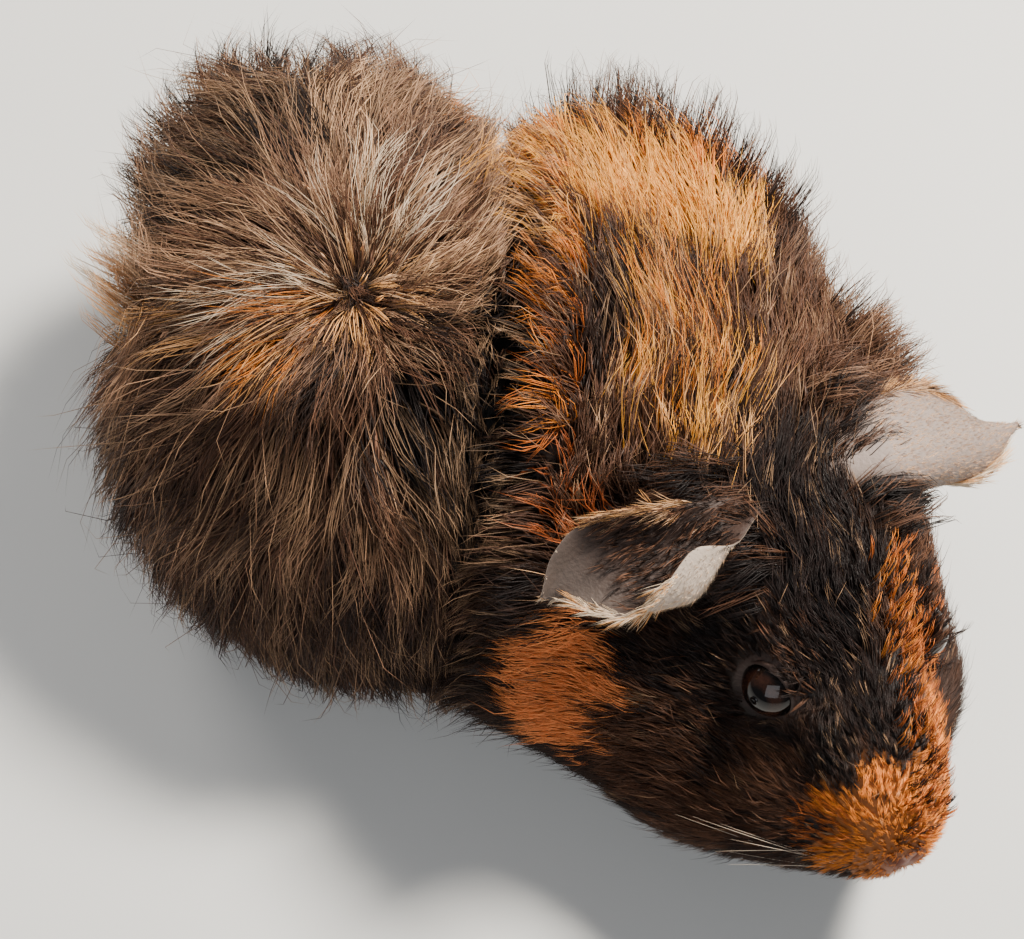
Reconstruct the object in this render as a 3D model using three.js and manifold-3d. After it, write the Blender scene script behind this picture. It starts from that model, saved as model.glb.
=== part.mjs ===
// A rough-coated guinea pig resting in a crouch, with its head turned to its right and its nose held low.
// The solids give the outer form of the coat.
// Millimetres, +Z up, +X from the rump towards the shoulders, +Y to the animal's left.
import * as THREE from "three";
import { mergeVertices } from "three/addons/utils/BufferGeometryUtils.js";
import Module from "manifold-3d";

const wasm = await Module();
wasm.setup();

// ---- Driving dimensions ----

const GAP = 0.3; // left free between neighbouring parts
const AROUND = 32; // faces round the body
const ALONG = 38; // faces from the tail end to the nose

// Softness is how far the crease between two masses is rounded over.
const TRUNK = { midline: 12, softness: 12 };
const HEAD = { ears: [52, 8, 71], yaw: -37.5, pitch: 0, roll: -8, softness: 9 };
const NECK_SOFTNESS = 14;

// Measured in the head's frame, which starts midway between the ears.
const EYE = { forward: 25.2, out: 14.6, down: 19.5, radius: 5.6 };
const EAR = { forward: 0, out: 16.8, down: 0.5, width: 23, reach: 31, thickness: 1.9 };
const EAR_POSE = {
  left: { droop: 8, turn: 0, tilt: 18 },
  right: { droop: 7, turn: -6, tilt: 22 },
};
const NOSTRIL = { forward: 56.5, out: 2.6, down: 37.5, radius: 1.1 };

const FOREFOOT = { sole: 13, width: 10, depth: 7.5, toes: 4, spread: 17, toe: 9, claw: 4 };
const HINDFOOT = { sole: 30, width: 10.5, depth: 8, toes: 3, spread: 13, toe: 10.5, claw: 5.5 };

const COAT = {
  black: 0x241a16,
  brown: 0x3f2a1e,
  orange: 0xb5662a,
  ear: 0x6b5a55,
  foot: 0x4a3a34,
  claw: 0x3a302c,
  eye: 0x0d0a0a,
};

// ---- Frames and small helpers ----

const radians = THREE.MathUtils.degToRad;

// A frame at a point, turned by yaw about Z, then pitch nose-up and roll about its own axes.
function frame(origin, yaw = 0, pitch = 0, roll = 0) {
  const turn = new THREE.Euler(radians(roll), radians(-pitch), radians(yaw), "ZYX");
  const matrix = new THREE.Matrix4().makeRotationFromEuler(turn);
  return matrix.setPosition(...origin);
}

const ROW = new THREE.Matrix4();
const headFrame = frame(HEAD.ears, HEAD.yaw, HEAD.pitch, HEAD.roll);
const inHead = (forward, left, up) => new THREE.Vector3(forward, left, up).applyMatrix4(headFrame);

// A mass is one ellipsoid of flesh and coat: its centre and half sizes in a frame, and how it is turned there.
function mass(within, centre, halfSizes, yaw = 0, pitch = 0, roll = 0) {
  const matrix = within.clone().multiply(frame(centre, yaw, pitch, roll));
  return { matrix, inverse: matrix.clone().invert(), half: new THREE.Vector3(...halfSizes) };
}

// About how far a point lies outside one mass.
function distanceTo({ inverse, half }, point) {
  const local = point.clone().applyMatrix4(inverse);
  const scaled = local.clone().divide(half);
  const reach = scaled.length();
  const slope = scaled.divide(half).length();
  return slope < 1e-9 ? -Math.min(half.x, half.y, half.z) : (reach * (reach - 1)) / slope;
}

// The lesser of two distances, with the crease between them rounded over some reach.
function blend(a, b, reach) {
  const overlap = Math.max(reach - Math.abs(a - b), 0) / reach;
  return Math.min(a, b) - (overlap * overlap * reach) / 4;
}

// ---- The masses of the body ----

const mid = TRUNK.midline;
const trunkMasses = [
  mass(ROW, [-48, mid + 3, 44], [43, 53, 45]), // rump
  mass(ROW, [-18, mid + 4, 44], [43, 59, 47]), // loin
  mass(ROW, [9, mid + 6, 43], [37, 54, 45]), // ribs
  mass(ROW, [33, mid + 4, 41], [31, 46, 35], -20), // shoulders
  mass(ROW, [2, mid + 35, 47], [36, 35, 36], -24), // left shoulder blade
  mass(ROW, [-62, mid + 24, 46], [30, 32, 34]), // left buttock
  mass(ROW, [-80, mid + 20, 56], [19, 20, 17]), // tuft over the tail
  mass(ROW, [-54, mid - 28, 30], [28, 27, 29]), // right buttock
  mass(ROW, [-30, mid - 34, 24], [42, 29, 30]), // right thigh
  mass(ROW, [-46, mid + 35, 24], [37, 27, 30]), // left thigh
  mass(ROW, [20, mid - 27, 24], [24, 25, 26]), // right upper arm
  mass(ROW, [22, mid + 32, 26], [28, 29, 28]), // left upper arm
  mass(ROW, [-10, mid, 20], [62, 44, 26]), // belly
];

const headMasses = [
  mass(headFrame, [4, 0, -22], [27, 23, 25]), // cranium and nape
  mass(headFrame, [23, 0, -23], [24, 15, 16], 0, -26), // brow
  mass(headFrame, [39, 0, -30], [18, 11.5, 12.5], 0, -32), // bridge of the nose
  mass(headFrame, [46.5, 0, -40], [11, 12.5, 12.5]), // muzzle
  mass(headFrame, [36, -1, -48], [14, 13, 9], 0, -10), // chin
  mass(headFrame, [22, -12, -44], [26, 18, 18], -8), // right cheek
  mass(headFrame, [17, 15, -41], [24, 17, 18], 8), // left cheek
  mass(headFrame, [7, 18, -24], [14, 11, 13]), // left temple
  mass(headFrame, [3, -22, -42], [20, 20, 22]), // right side of the ruff
  mass(headFrame, [17, -20, -54], [21, 18, 15]), // coat hanging from the right jowl
  mass(headFrame, [12, 3, -52], [34, 28, 16]), // throat
];

// The coat parts along a furrow over the loin, and dips at the heart of each rosette.
const PARTING = { from: [6, -36], to: [-38, 74], width: 6.5, depth: 7, lip: 4, lipOffset: 11 };
const ROSETTES = [
  { at: [-30, 0, 90], radius: 11, depth: 5 },
  { at: [-72, 48, 70], radius: 9, depth: 4 },
  { at: [-82, -12, 60], radius: 9, depth: 4 },
];

// It lies flatter under the right ear, in the head's frame.
const EAR_HOLLOW = { at: [0, -34, -4], radius: 17, depth: 8 };
const bell = (distance, width) => Math.exp(-((distance / width) ** 2));

function coatRelief(point) {
  const from = new THREE.Vector2(...PARTING.from);
  const line = new THREE.Vector2(...PARTING.to).sub(from).normalize();
  const across = new THREE.Vector2(point.x, point.y).sub(from).cross(line);
  const high = THREE.MathUtils.smoothstep(point.z, 18, 50);
  const furrow = PARTING.depth * bell(across, PARTING.width);
  const lip = PARTING.lip * bell(across - PARTING.lipOffset, PARTING.width);
  const dips = ROSETTES.map(({ at, radius, depth }) => {
    const distance = point.distanceTo(new THREE.Vector3(...at));
    return depth * bell(distance, radius) - 0.35 * depth * bell(distance - 2.4 * radius, radius);
  });
  return high * (furrow - lip) + dips.reduce((a, b) => a + b, 0);
}

// Zero on the outside of the coat, and negative within it.
function coatField(point) {
  const blended = (masses, softness) =>
    masses.map((one) => distanceTo(one, point)).reduce((a, b) => blend(a, b, softness));
  const trunk = blended(trunkMasses, TRUNK.softness);
  const head = blended(headMasses, HEAD.softness);
  const hollow = EAR_HOLLOW.depth * bell(point.distanceTo(inHead(...EAR_HOLLOW.at)), EAR_HOLLOW.radius);
  return blend(trunk + coatRelief(point), head, NECK_SOFTNESS) + hollow;
}

// ---- The body's surface, grown outward from the spine ----

// Stations along the spine: where each lies, and the way its slice of the body faces.
const stations = [
  { at: [-58, mid, 42], yaw: 4, pitch: 0 }, // hips
  { at: [-36, mid + 1, 43], yaw: 12, pitch: 0 },
  { at: [-13, mid, 44], yaw: 20, pitch: 0 }, // loin, where the coat parts
  { at: [8, mid + 2, 45], yaw: 8, pitch: 0 }, // ribs
  { at: [28, mid + 1, 46], yaw: -6, pitch: -5 }, // shoulders
  { at: inHead(-6, 0, -24).toArray(), yaw: -18, pitch: -10 }, // nape
  { at: inHead(12, 0, -26).toArray(), yaw: -28, pitch: -16 }, // ears
  { at: inHead(30, 0, -31).toArray(), yaw: -37, pitch: -20 }, // brow
  { at: inHead(45, 0, -39).toArray(), yaw: -38, pitch: -20 }, // muzzle
];
const facing = ({ yaw, pitch }) =>
  new THREE.Vector3(1, 0, 0).transformDirection(frame([0, 0, 0], yaw, pitch));
const spine = new THREE.CatmullRomCurve3(stations.map(({ at }) => new THREE.Vector3(...at)));
const slices = new THREE.CatmullRomCurve3(stations.map(facing));

const REAR_FAN = 0.22; // the share of the rings that fan out round the rump
const NOSE_FAN = 0.12; // and round the nose
const REACH = 120; // further than any ray has to go
const STEP = 1.5;

function firstExit(origin, direction) {
  const at = (distance) => origin.clone().addScaledVector(direction, distance);
  let outside = STEP;
  while (outside < REACH && coatField(at(outside)) < 0) outside += STEP;
  let inside = outside - STEP;
  for (let halving = 0; halving < 12; halving++) {
    const middle = (inside + outside) / 2;
    if (coatField(at(middle)) < 0) inside = middle;
    else outside = middle;
  }
  return at(outside);
}

// Moves each point of a unit sphere, whose poles are the tail end and the nose, out to the coat.
function bodyGeometry() {
  const geometry = new THREE.SphereGeometry(1, AROUND, ALONG);
  const positions = geometry.getAttribute("position");
  const unit = new THREE.Vector3();
  for (let i = 0; i < positions.count; i++) {
    unit.fromBufferAttribute(positions, i);
    const t = 1 - Math.acos(THREE.MathUtils.clamp(unit.y, -1, 1)) / Math.PI;
    const onSpine = THREE.MathUtils.clamp((t - REAR_FAN) / (1 - REAR_FAN - NOSE_FAN), 0, 1);
    const rearTilt = -Math.max(0, 1 - t / REAR_FAN);
    const noseTilt = Math.max(0, 1 - (1 - t) / NOSE_FAN);
    const tilt = ((rearTilt + noseTilt) * Math.PI) / 2;
    const forward = slices.getPoint(onSpine).normalize();
    const left = new THREE.Vector3(0, 0, 1).cross(forward).normalize();
    const up = forward.clone().cross(left);
    const round = Math.atan2(unit.x, unit.z);
    const direction = left
      .multiplyScalar(Math.cos(round) * Math.cos(tilt))
      .addScaledVector(up, Math.sin(round) * Math.cos(tilt))
      .addScaledVector(forward, Math.sin(tilt));
    const surface = firstExit(spine.getPoint(onSpine), direction);
    positions.setXYZ(i, surface.x, surface.y, surface.z);
  }
  return geometry;
}

// ---- Solids ----

// The closed solid of a geometry, grown by some amount along its normals.
function solidOf(geometry, grow = 0) {
  const bare = geometry.clone();
  bare.deleteAttribute("normal");
  bare.deleteAttribute("uv");
  const merged = mergeVertices(bare, 1e-3);
  if (grow > 0) {
    merged.computeVertexNormals();
    const positions = merged.getAttribute("position");
    const normals = merged.getAttribute("normal");
    positions.array.forEach((value, i) => (positions.array[i] = value + grow * normals.array[i]));
  }
  return new wasm.Manifold(
    new wasm.Mesh({
      numProp: 3,
      vertProperties: new Float32Array(merged.getAttribute("position").array),
      triVerts: new Uint32Array(merged.index.array),
    }),
  );
}

function geometryOf(solid) {
  const { vertProperties, triVerts } = solid.getMesh();
  const geometry = new THREE.BufferGeometry();
  geometry.setAttribute("position", new THREE.BufferAttribute(vertProperties, 3));
  geometry.setIndex(new THREE.BufferAttribute(triVerts, 1));
  geometry.computeVertexNormals();
  return geometry;
}

const joined = (solids) => solids.reduce((whole, solid) => whole.add(solid));
const aboveFloor = (solid) => solid.trimByPlane([0, 0, 1], 0);

// An ellipsoid as a solid, grown by some amount all round.
function ellipsoid(within, centre, halfSizes, { yaw = 0, pitch = 0, grow = 0, rings = 6 } = {}) {
  const geometry = new THREE.SphereGeometry(1, 2 * rings, rings);
  geometry.rotateX(Math.PI / 2);
  geometry.scale(...halfSizes.map((half) => half + grow));
  return solidOf(geometry.applyMatrix4(within.clone().multiply(frame(centre, yaw, pitch))));
}

// A round-ended limb between two points.
function limb(from, to, radius, grow = 0) {
  const axis = to.clone().sub(from);
  const geometry = new THREE.CapsuleGeometry(radius + grow, axis.length(), 1, 5);
  const turn = new THREE.Quaternion().setFromUnitVectors(THREE.Object3D.DEFAULT_UP, axis.normalize());
  geometry.applyQuaternion(turn);
  return solidOf(geometry.translate(...from.clone().add(to).multiplyScalar(0.5)));
}

// ---- Feet and claws ----

// Where a foot's toes start and end, in the row's frame: the middle toe is the longest.
function toesOf(foot) {
  const place = frame(foot.at, foot.heading);
  return Array.from({ length: foot.toes }, (_, index) => {
    const offset = index - (foot.toes - 1) / 2;
    const angle = radians(offset * foot.spread);
    const reach = foot.toe * (1 - 0.07 * Math.abs(offset));
    const root = new THREE.Vector3(foot.sole / 2 - 2, (offset * foot.width) / foot.toes, 3.6);
    const tip = root.clone().add(new THREE.Vector3(reach * Math.cos(angle), reach * Math.sin(angle), -1.5));
    return { angle, root: root.applyMatrix4(place), tip: tip.applyMatrix4(place) };
  });
}

const toeRadius = (foot) => (0.46 * foot.width) / Math.sqrt(foot.toes);

function footSolid(foot, grow = 0) {
  const place = frame(foot.at, foot.heading);
  const halfSizes = [foot.sole / 2 + 1, foot.width / 2, foot.depth / 2];
  const sole = ellipsoid(place, [-1, 0, foot.depth / 2 - 0.6], halfSizes, { grow, rings: 4 });
  const toes = toesOf(foot).map(({ root, tip }) => limb(root, tip, toeRadius(foot), grow));
  return aboveFloor(joined([sole, ...toes]));
}

// A tapered claw that curves down to the floor from the end of a toe.
function clawSolid(foot, toe, grow = 0) {
  const geometry = new THREE.CylinderGeometry(0.3, 1.05, foot.claw, 5, 2);
  geometry.translate(0, foot.claw / 2, 0);
  geometry.rotateZ(-Math.PI / 2);
  const positions = geometry.getAttribute("position");
  for (let i = 0; i < positions.count; i++) {
    const along = positions.getX(i) / foot.claw;
    positions.setZ(i, positions.getZ(i) - 0.3 * foot.claw * along ** 2);
  }
  const start = toe.tip.clone();
  const place = frame([start.x, start.y, start.z], foot.heading + THREE.MathUtils.radToDeg(toe.angle));
  place.multiply(new THREE.Matrix4().makeTranslation(toeRadius(foot) - 0.5, 0, 0.3));
  return solidOf(geometry.applyMatrix4(place), grow);
}

const feet = {
  forefoot_right: { ...FOREFOOT, at: [45, mid - 26, 0], heading: -22 },
  forefoot_left: { ...FOREFOOT, at: [50, mid + 8, 0], heading: -16 },
  hindfoot_right: { ...HINDFOOT, at: [-26, mid - 33, 0], heading: -8 },
  hindfoot_left: { ...HINDFOOT, at: [-24, mid + 38, 0], heading: 10 },
};

// ---- Head parts ----

// An ear is a petal, cupped towards its opening, that hangs outward and folds over at its front edge.
// Both coordinates run from -1 to 1 over it: backward to forward, and root to tip.
function petal(across, along) {
  const out = (along + 1) / 2;
  const cup = 5 * (across ** 2 - 0.5) * (1 - 0.35 * along);
  const nearMiddle = 0.4 + 0.6 * Math.max(0, 0.8 - along ** 2);
  const fold = 6 * THREE.MathUtils.smoothstep(across, 0.1, 1.2) * nearMiddle;
  const width = EAR.width * (1 - 0.16 * along ** 2);
  return new THREE.Vector3((across * width) / 2, out * EAR.reach, cup - fold - 5 * out ** 2);
}

function earSolid(side) {
  const geometry = new THREE.SphereGeometry(1, 14, 10);
  const positions = geometry.getAttribute("position");
  for (let i = 0; i < positions.count; i++) {
    const { x, y, z } = petal(positions.getX(i), positions.getY(i));
    positions.setXYZ(i, x, y, z + (positions.getZ(i) * EAR.thickness) / 2);
  }
  const { droop, turn, tilt } = side > 0 ? EAR_POSE.left : EAR_POSE.right;
  geometry.rotateY(radians(tilt));
  geometry.rotateX(radians(-droop));
  geometry.rotateZ(radians(turn));
  geometry.translate(EAR.forward, EAR.out, -EAR.down);
  if (side < 0) {
    geometry.scale(1, -1, 1);
    flipFaces(geometry);
  }
  return solidOf(geometry.applyMatrix4(headFrame));
}

// Turns each face round, after a mirroring.
function flipFaces(geometry) {
  const index = geometry.getIndex();
  for (let i = 0; i < index.count; i += 3) {
    const first = index.getX(i);
    index.setX(i, index.getX(i + 2));
    index.setX(i + 2, first);
  }
}

const eyePlace = (side) => [EYE.forward, side * EYE.out, -EYE.down];
const eyeSolid = (side, grow = 0) =>
  ellipsoid(headFrame, eyePlace(side), [EYE.radius, EYE.radius, EYE.radius], { grow, rings: 7 });
const nostrilSolid = (side) => {
  const place = [NOSTRIL.forward, side * NOSTRIL.out, -NOSTRIL.down];
  return ellipsoid(headFrame, place, [3, NOSTRIL.radius, 1.4], { rings: 3 });
};

// ---- Parting the body ----

// Where the jaw, each limb and the head end within the body. Each one that follows is cut from what is left.
const regions = {
  lower_jaw: (grow) => ellipsoid(headFrame, [36, 0, -59], [16, 11, 9], { grow }),
  foreleg_right: (grow) => ellipsoid(ROW, [38, mid - 28, 8], [15, 14, 19], { grow }),
  foreleg_left: (grow) => ellipsoid(ROW, [46, mid + 16, 8], [15, 14, 19], { grow }),
  hindleg_right: (grow) => ellipsoid(ROW, [-40, mid - 56, 18], [34, 26, 30], { grow }),
  hindleg_left: (grow) => ellipsoid(ROW, [-46, mid + 58, 18], [34, 26, 30], { grow }),
  head: (grow) => ellipsoid(headFrame, [32, 0, -26], [49, 42, 44], { grow }),
};

// Planes that part the rest, from the neck to the rump: a point on each and the way it faces.
const NECK_PLANE = { point: [29, mid, 0], yaw: -12, pitch: 0 };
const CHEST_PLANE = { point: [-12, mid, 0], yaw: 21.8, pitch: 0 };
const RUMP_PLANE = { point: [-52, mid, 0], yaw: 4, pitch: 0 };

// The side of a solid that the plane faces, or the other side.
function side(solid, plane, forward) {
  const sign = forward ? 1 : -1;
  const normal = facing(plane);
  const offset = normal.dot(new THREE.Vector3(...plane.point)) * sign + GAP / 2;
  return solid.trimByPlane(normal.multiplyScalar(sign).toArray(), offset);
}

const sides = { left: 1, right: -1 };
const bodySurface = bodyGeometry();
const coat = aboveFloor(solidOf(bodySurface));
const roundCoat = solidOf(bodySurface, GAP);

const solids = new Map();
const takenOut = [];
for (const [name, foot] of Object.entries(feet)) {
  solids.set(name, footSolid(foot));
  takenOut.push(footSolid(foot, GAP));
  toesOf(foot).forEach((toe, index) => {
    solids.set(`claw_${name}_${index + 1}`, aboveFloor(clawSolid(foot, toe).subtract(footSolid(foot, GAP))));
    takenOut.push(clawSolid(foot, toe, GAP));
  });
}
for (const [name, sign] of Object.entries(sides)) {
  solids.set(`eye_${name}`, eyeSolid(sign));
  solids.set(`ear_${name}`, earSolid(sign).subtract(roundCoat));
}

const hollowsOf = (sign) => [eyeSolid(sign, GAP), nostrilSolid(sign)];
const sockets = joined(Object.values(sides).flatMap(hollowsOf));
const bare = coat.subtract(joined(takenOut));

let rest = bare.subtract(sockets);
for (const [name, region] of Object.entries(regions)) {
  solids.set(name, rest.intersect(region(0)));
  rest = rest.subtract(region(GAP));
}
const parting = { neck: NECK_PLANE, chest: CHEST_PLANE, belly: RUMP_PLANE };
for (const [name, plane] of Object.entries(parting)) {
  solids.set(name, side(rest, plane, true));
  rest = side(rest, plane, false);
}
solids.set("rump", rest);

// ---- The scene graph ----

const finishes = [
  [/^eye/, { color: COAT.eye, roughness: 0.08 }],
  [/^ear/, { color: COAT.ear, roughness: 0.7 }],
  [/^claw/, { color: COAT.claw, roughness: 0.4 }],
  [/foot/, { color: COAT.foot, roughness: 0.8 }],
  [/^(head|rump)/, { color: COAT.black, roughness: 0.85 }],
  [/^chest/, { color: COAT.orange, roughness: 0.85 }],
  [/./, { color: COAT.brown, roughness: 0.85 }],
];

// The largest body of a solid, which drops slivers left by a cut.
function largestBody(solid) {
  return solid.decompose().reduce((most, body) => (body.volume() > most.volume() ? body : most));
}

const animal = new THREE.Group();
for (const [name, solid] of solids) {
  const [, finish] = finishes.find(([pattern]) => pattern.test(name));
  const material = new THREE.MeshStandardMaterial({ metalness: 0, ...finish });
  const mesh = new THREE.Mesh(geometryOf(largestBody(solid)), material);
  mesh.name = name;
  animal.add(mesh);
}

// The origin is on the floor, under the middle of the animal's box.
const box = new THREE.Box3().setFromObject(animal, true);
const centre = box.getCenter(new THREE.Vector3());
animal.position.set(-centre.x, -centre.y, -box.min.z);

const guineaPig = new THREE.Group().add(animal);
export default guineaPig;
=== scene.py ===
# %% [markdown]
# # A rough-coated guinea pig at rest
# The animal lies in a crouch, with its head turned to its right and its nose held low. Its body has no fur
# of its own yet: the solids only say how far the coat reaches. This lesson makes the skin under that coat,
# the lids, ears and nose that grow out of it, and then the coat itself, as many small closed locks of hair.

import math

import bmesh
import bpy
import numpy as np
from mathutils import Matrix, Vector
from mathutils.bvhtree import BVHTree


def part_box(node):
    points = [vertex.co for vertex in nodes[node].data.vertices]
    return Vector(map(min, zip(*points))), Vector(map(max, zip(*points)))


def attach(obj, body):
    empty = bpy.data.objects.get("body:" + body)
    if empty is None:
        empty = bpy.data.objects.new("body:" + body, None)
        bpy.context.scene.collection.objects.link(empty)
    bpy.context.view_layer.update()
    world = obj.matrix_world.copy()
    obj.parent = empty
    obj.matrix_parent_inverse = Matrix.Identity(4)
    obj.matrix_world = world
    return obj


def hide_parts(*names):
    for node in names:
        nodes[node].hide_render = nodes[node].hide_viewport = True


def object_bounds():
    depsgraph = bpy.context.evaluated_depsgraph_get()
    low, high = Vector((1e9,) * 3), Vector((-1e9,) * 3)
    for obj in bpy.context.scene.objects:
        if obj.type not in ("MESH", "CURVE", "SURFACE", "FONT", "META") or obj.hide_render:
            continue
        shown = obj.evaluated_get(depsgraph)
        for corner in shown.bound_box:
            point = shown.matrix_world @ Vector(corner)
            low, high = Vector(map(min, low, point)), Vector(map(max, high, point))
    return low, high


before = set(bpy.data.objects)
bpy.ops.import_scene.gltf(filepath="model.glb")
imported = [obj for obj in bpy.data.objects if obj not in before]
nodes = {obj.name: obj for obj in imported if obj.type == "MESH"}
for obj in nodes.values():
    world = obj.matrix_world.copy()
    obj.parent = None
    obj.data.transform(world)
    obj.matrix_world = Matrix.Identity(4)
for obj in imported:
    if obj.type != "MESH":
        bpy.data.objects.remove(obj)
cad_low, cad_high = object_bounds()

MM = 0.001
rng = np.random.default_rng(11)


def unit(vectors):
    return vectors / np.maximum(np.linalg.norm(vectors, axis=-1, keepdims=True), 1e-9)


def ramp(value, start, end):
    """0 before start, 1 past end, and a smooth rise between them."""
    share = np.clip((value - start) / (end - start), 0, 1)
    return share * share * (3 - 2 * share)


def mix(first, second, share):
    return first + (second - first) * share


def bell(distance, width):
    return np.exp(-((distance / width) ** 2))


print("solids:", len(nodes), "box in mm:", [round(float(s) / MM) for s in cad_high - cad_low])

# %% [markdown]
# ## Where the head points
# The eyes, lids, ears, nose and whiskers are placed in the head's own directions: forward, to its left, and
# up. The two eyeballs are already in the frame, so they give those directions without any measuring by
# hand.

# %% The head's own directions
def middle(name):
    low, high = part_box(name)
    return np.array((low + high) / 2) / MM


EYE_FORWARD, EYE_DOWN = 25.2, 19.5  # from the point between the ears, in mm
EYE_RADIUS = 5.6
eyes = {"left": middle("eye_left"), "right": middle("eye_right")}
to_left = unit(eyes["left"] - eyes["right"])
forward = unit(np.cross(to_left, [0, 0, 1]))
head_axes = np.array([forward, to_left, np.cross(forward, to_left)])
between_ears = (eyes["left"] + eyes["right"]) / 2 + np.array([-EYE_FORWARD, 0, EYE_DOWN]) @ head_axes


def in_head(points):
    """Row-frame points in mm, as forward, left and up from the point between the ears."""
    return (np.asarray(points) - between_ears) @ head_axes.T


def from_head(points):
    return np.asarray(points, float) @ head_axes + between_ears


NOSE = from_head([58, 0, -38])
print("between the ears:", between_ears.round(1), "nose:", NOSE.round(1))

# %% [markdown]
# ## Meshes in and out of arrays
# A coat of a hundred thousand hairs is far too much for loops in Python. NumPy moves every point at once,
# and two helpers carry the arrays in and out of Blender's meshes.

# %% Arrays to meshes and back
def points_of(mesh):
    flat = np.empty(len(mesh.vertices) * 3)
    mesh.vertices.foreach_get("co", flat)
    return flat.reshape(-1, 3) / MM


def normals_of(mesh):
    flat = np.empty(len(mesh.vertices) * 3)
    mesh.vertex_normals.foreach_get("vector", flat)
    return flat.reshape(-1, 3)


def move_to(mesh, points):
    mesh.vertices.foreach_set("co", (points * MM).ravel())
    mesh.update()


def triangles_of(mesh):
    flat = np.empty(len(mesh.polygons) * 3, np.int32)
    mesh.polygons.foreach_get("vertices", flat)
    return flat.reshape(-1, 3)


def mesh_of(name, points, faces):
    """A smooth mesh of points in mm and faces that all have the same number of corners."""
    mesh = bpy.data.meshes.new(name)
    count, corners = faces.shape
    mesh.vertices.add(len(points))
    mesh.vertices.foreach_set("co", (points * MM).ravel())
    mesh.loops.add(count * corners)
    mesh.loops.foreach_set("vertex_index", faces.ravel().astype(np.int32))
    mesh.polygons.add(count)
    mesh.polygons.foreach_set("loop_start", np.arange(0, count * corners, corners, dtype=np.int32))
    mesh.update(calc_edges=True)
    mesh.validate()
    mesh.shade_smooth()
    return mesh


def paint(mesh, name, colours):
    """Keeps one linear colour for each point of a mesh."""
    layer = mesh.attributes.new(name, "FLOAT_COLOR", "POINT")
    layer.data.foreach_set("color", np.column_stack([colours, np.ones(len(colours))]).ravel())


def shown(name, mesh):
    piece = bpy.data.objects.new(name, mesh)
    bpy.context.collection.objects.link(piece)
    return piece


def applied(piece):
    """The piece's mesh with its modifiers worked out."""
    graph = bpy.context.evaluated_depsgraph_get()
    return bpy.data.meshes.new_from_object(piece.evaluated_get(graph))


# %% [markdown]
# ## Shader maths as Python
# A material is a net of nodes. Written out node by node it is hard to read, so one small class wraps a
# socket, and adding or multiplying two of them adds the Math node that does it. Colours go through Mix
# nodes instead, because a Math node would turn them grey.

# %% A socket that does sums
class Value:
    def __init__(self, tree, socket):
        self.tree, self.socket = tree, socket

    def node(self, kind, output=0, settings=None, **inputs):
        """Any node: its settings first, then the values or links of its sockets."""
        made = self.tree.nodes.new(kind)
        for key, value in (settings or {}).items():
            setattr(made, key, value)
        for key, value in inputs.items():
            socket = made.inputs[int(key[1:])] if key[1:].isdigit() else made.inputs[key.replace("_", " ")]
            if isinstance(value, Value):
                self.tree.links.new(value.socket, socket)
            else:
                socket.default_value = value
        return Value(self.tree, made.outputs[output])

    def _math(self, operation, first, second):
        return self.node("ShaderNodeMath", settings={"operation": operation}, i0=first, i1=second)

    def __add__(self, other):
        return self._math("ADD", self, other)

    def __sub__(self, other):
        return self._math("SUBTRACT", self, other)

    def __rsub__(self, other):
        return self._math("SUBTRACT", other, self)

    def __mul__(self, other):
        return self._math("MULTIPLY", self, other)

    __radd__ = __add__
    __rmul__ = __mul__

    def between(self, low, high):
        """0 below low, 1 above high."""
        kind = {"interpolation_type": "SMOOTHSTEP"}
        return self.node("ShaderNodeMapRange", settings=kind, i0=self, i1=low, i2=high)

    def tinted(self, first, second):
        """A colour between two others, by this share."""
        kind = {"data_type": "RGBA"}
        return self.node("ShaderNodeMix", 2, kind, i0=self, i6=first, i7=second)


def material(name, roughness, build, coat=0.0, specular=0.5):
    """A Principled material. build gets a starting Value and gives what goes to the sockets that vary."""
    made = bpy.data.materials.new(name)
    made.use_nodes = True
    shader = made.node_tree.nodes["Principled BSDF"]
    shader.inputs["Roughness"].default_value = roughness
    shader.inputs["Coat Weight"].default_value = coat
    shader.inputs["Coat Roughness"].default_value = 0.03
    shader.inputs["Specular IOR Level"].default_value = specular
    start = Value(made.node_tree, None)
    for socket, value in build(start).items():
        made.node_tree.links.new(value.socket, shader.inputs[socket])
    return made


def attribute(start, name, output=0):
    return start.node("ShaderNodeAttribute", output, {"attribute_name": name})


def grain(start, scale, detail=3.0):
    """Even noise in the piece's own space, about 0.5 on average."""
    place = start.node("ShaderNodeTexCoord", 3)
    return start.node("ShaderNodeTexNoise", Vector=place, Scale=scale, Detail=detail)


def bumped(start, height, strength, distance):
    return start.node("ShaderNodeBump", Strength=strength, Distance=distance, Height=height)


def colour(red, green, blue):
    """A colour as a paint chart gives it, 0 to 255, as the linear values that light uses."""
    share = np.array([red, green, blue]) / 255
    return np.where(share <= 0.04045, share / 12.92, ((share + 0.055) / 1.055) ** 2.4)


# %% [markdown]
# ## The skin
# Under the fur the animal is one smooth body. The solids are parted by thin cuts, so each is grown by a
# hair's breadth, and a voxel remesh melts them into one closed form. That form is the outside of the coat.
# Moving it inward by the depth of the coat, a little at a time with some smoothing between, leaves the
# skin.

# %% One form out of the parted solids
FLESH = ["head", "lower_jaw", "neck", "chest", "belly", "rump"]
LEGS = [f"{pair}leg_{side}" for pair in ("fore", "hind") for side in ("left", "right")]
FEET = [f"{pair}foot_{side}" for pair in ("fore", "hind") for side in ("left", "right")]


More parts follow.
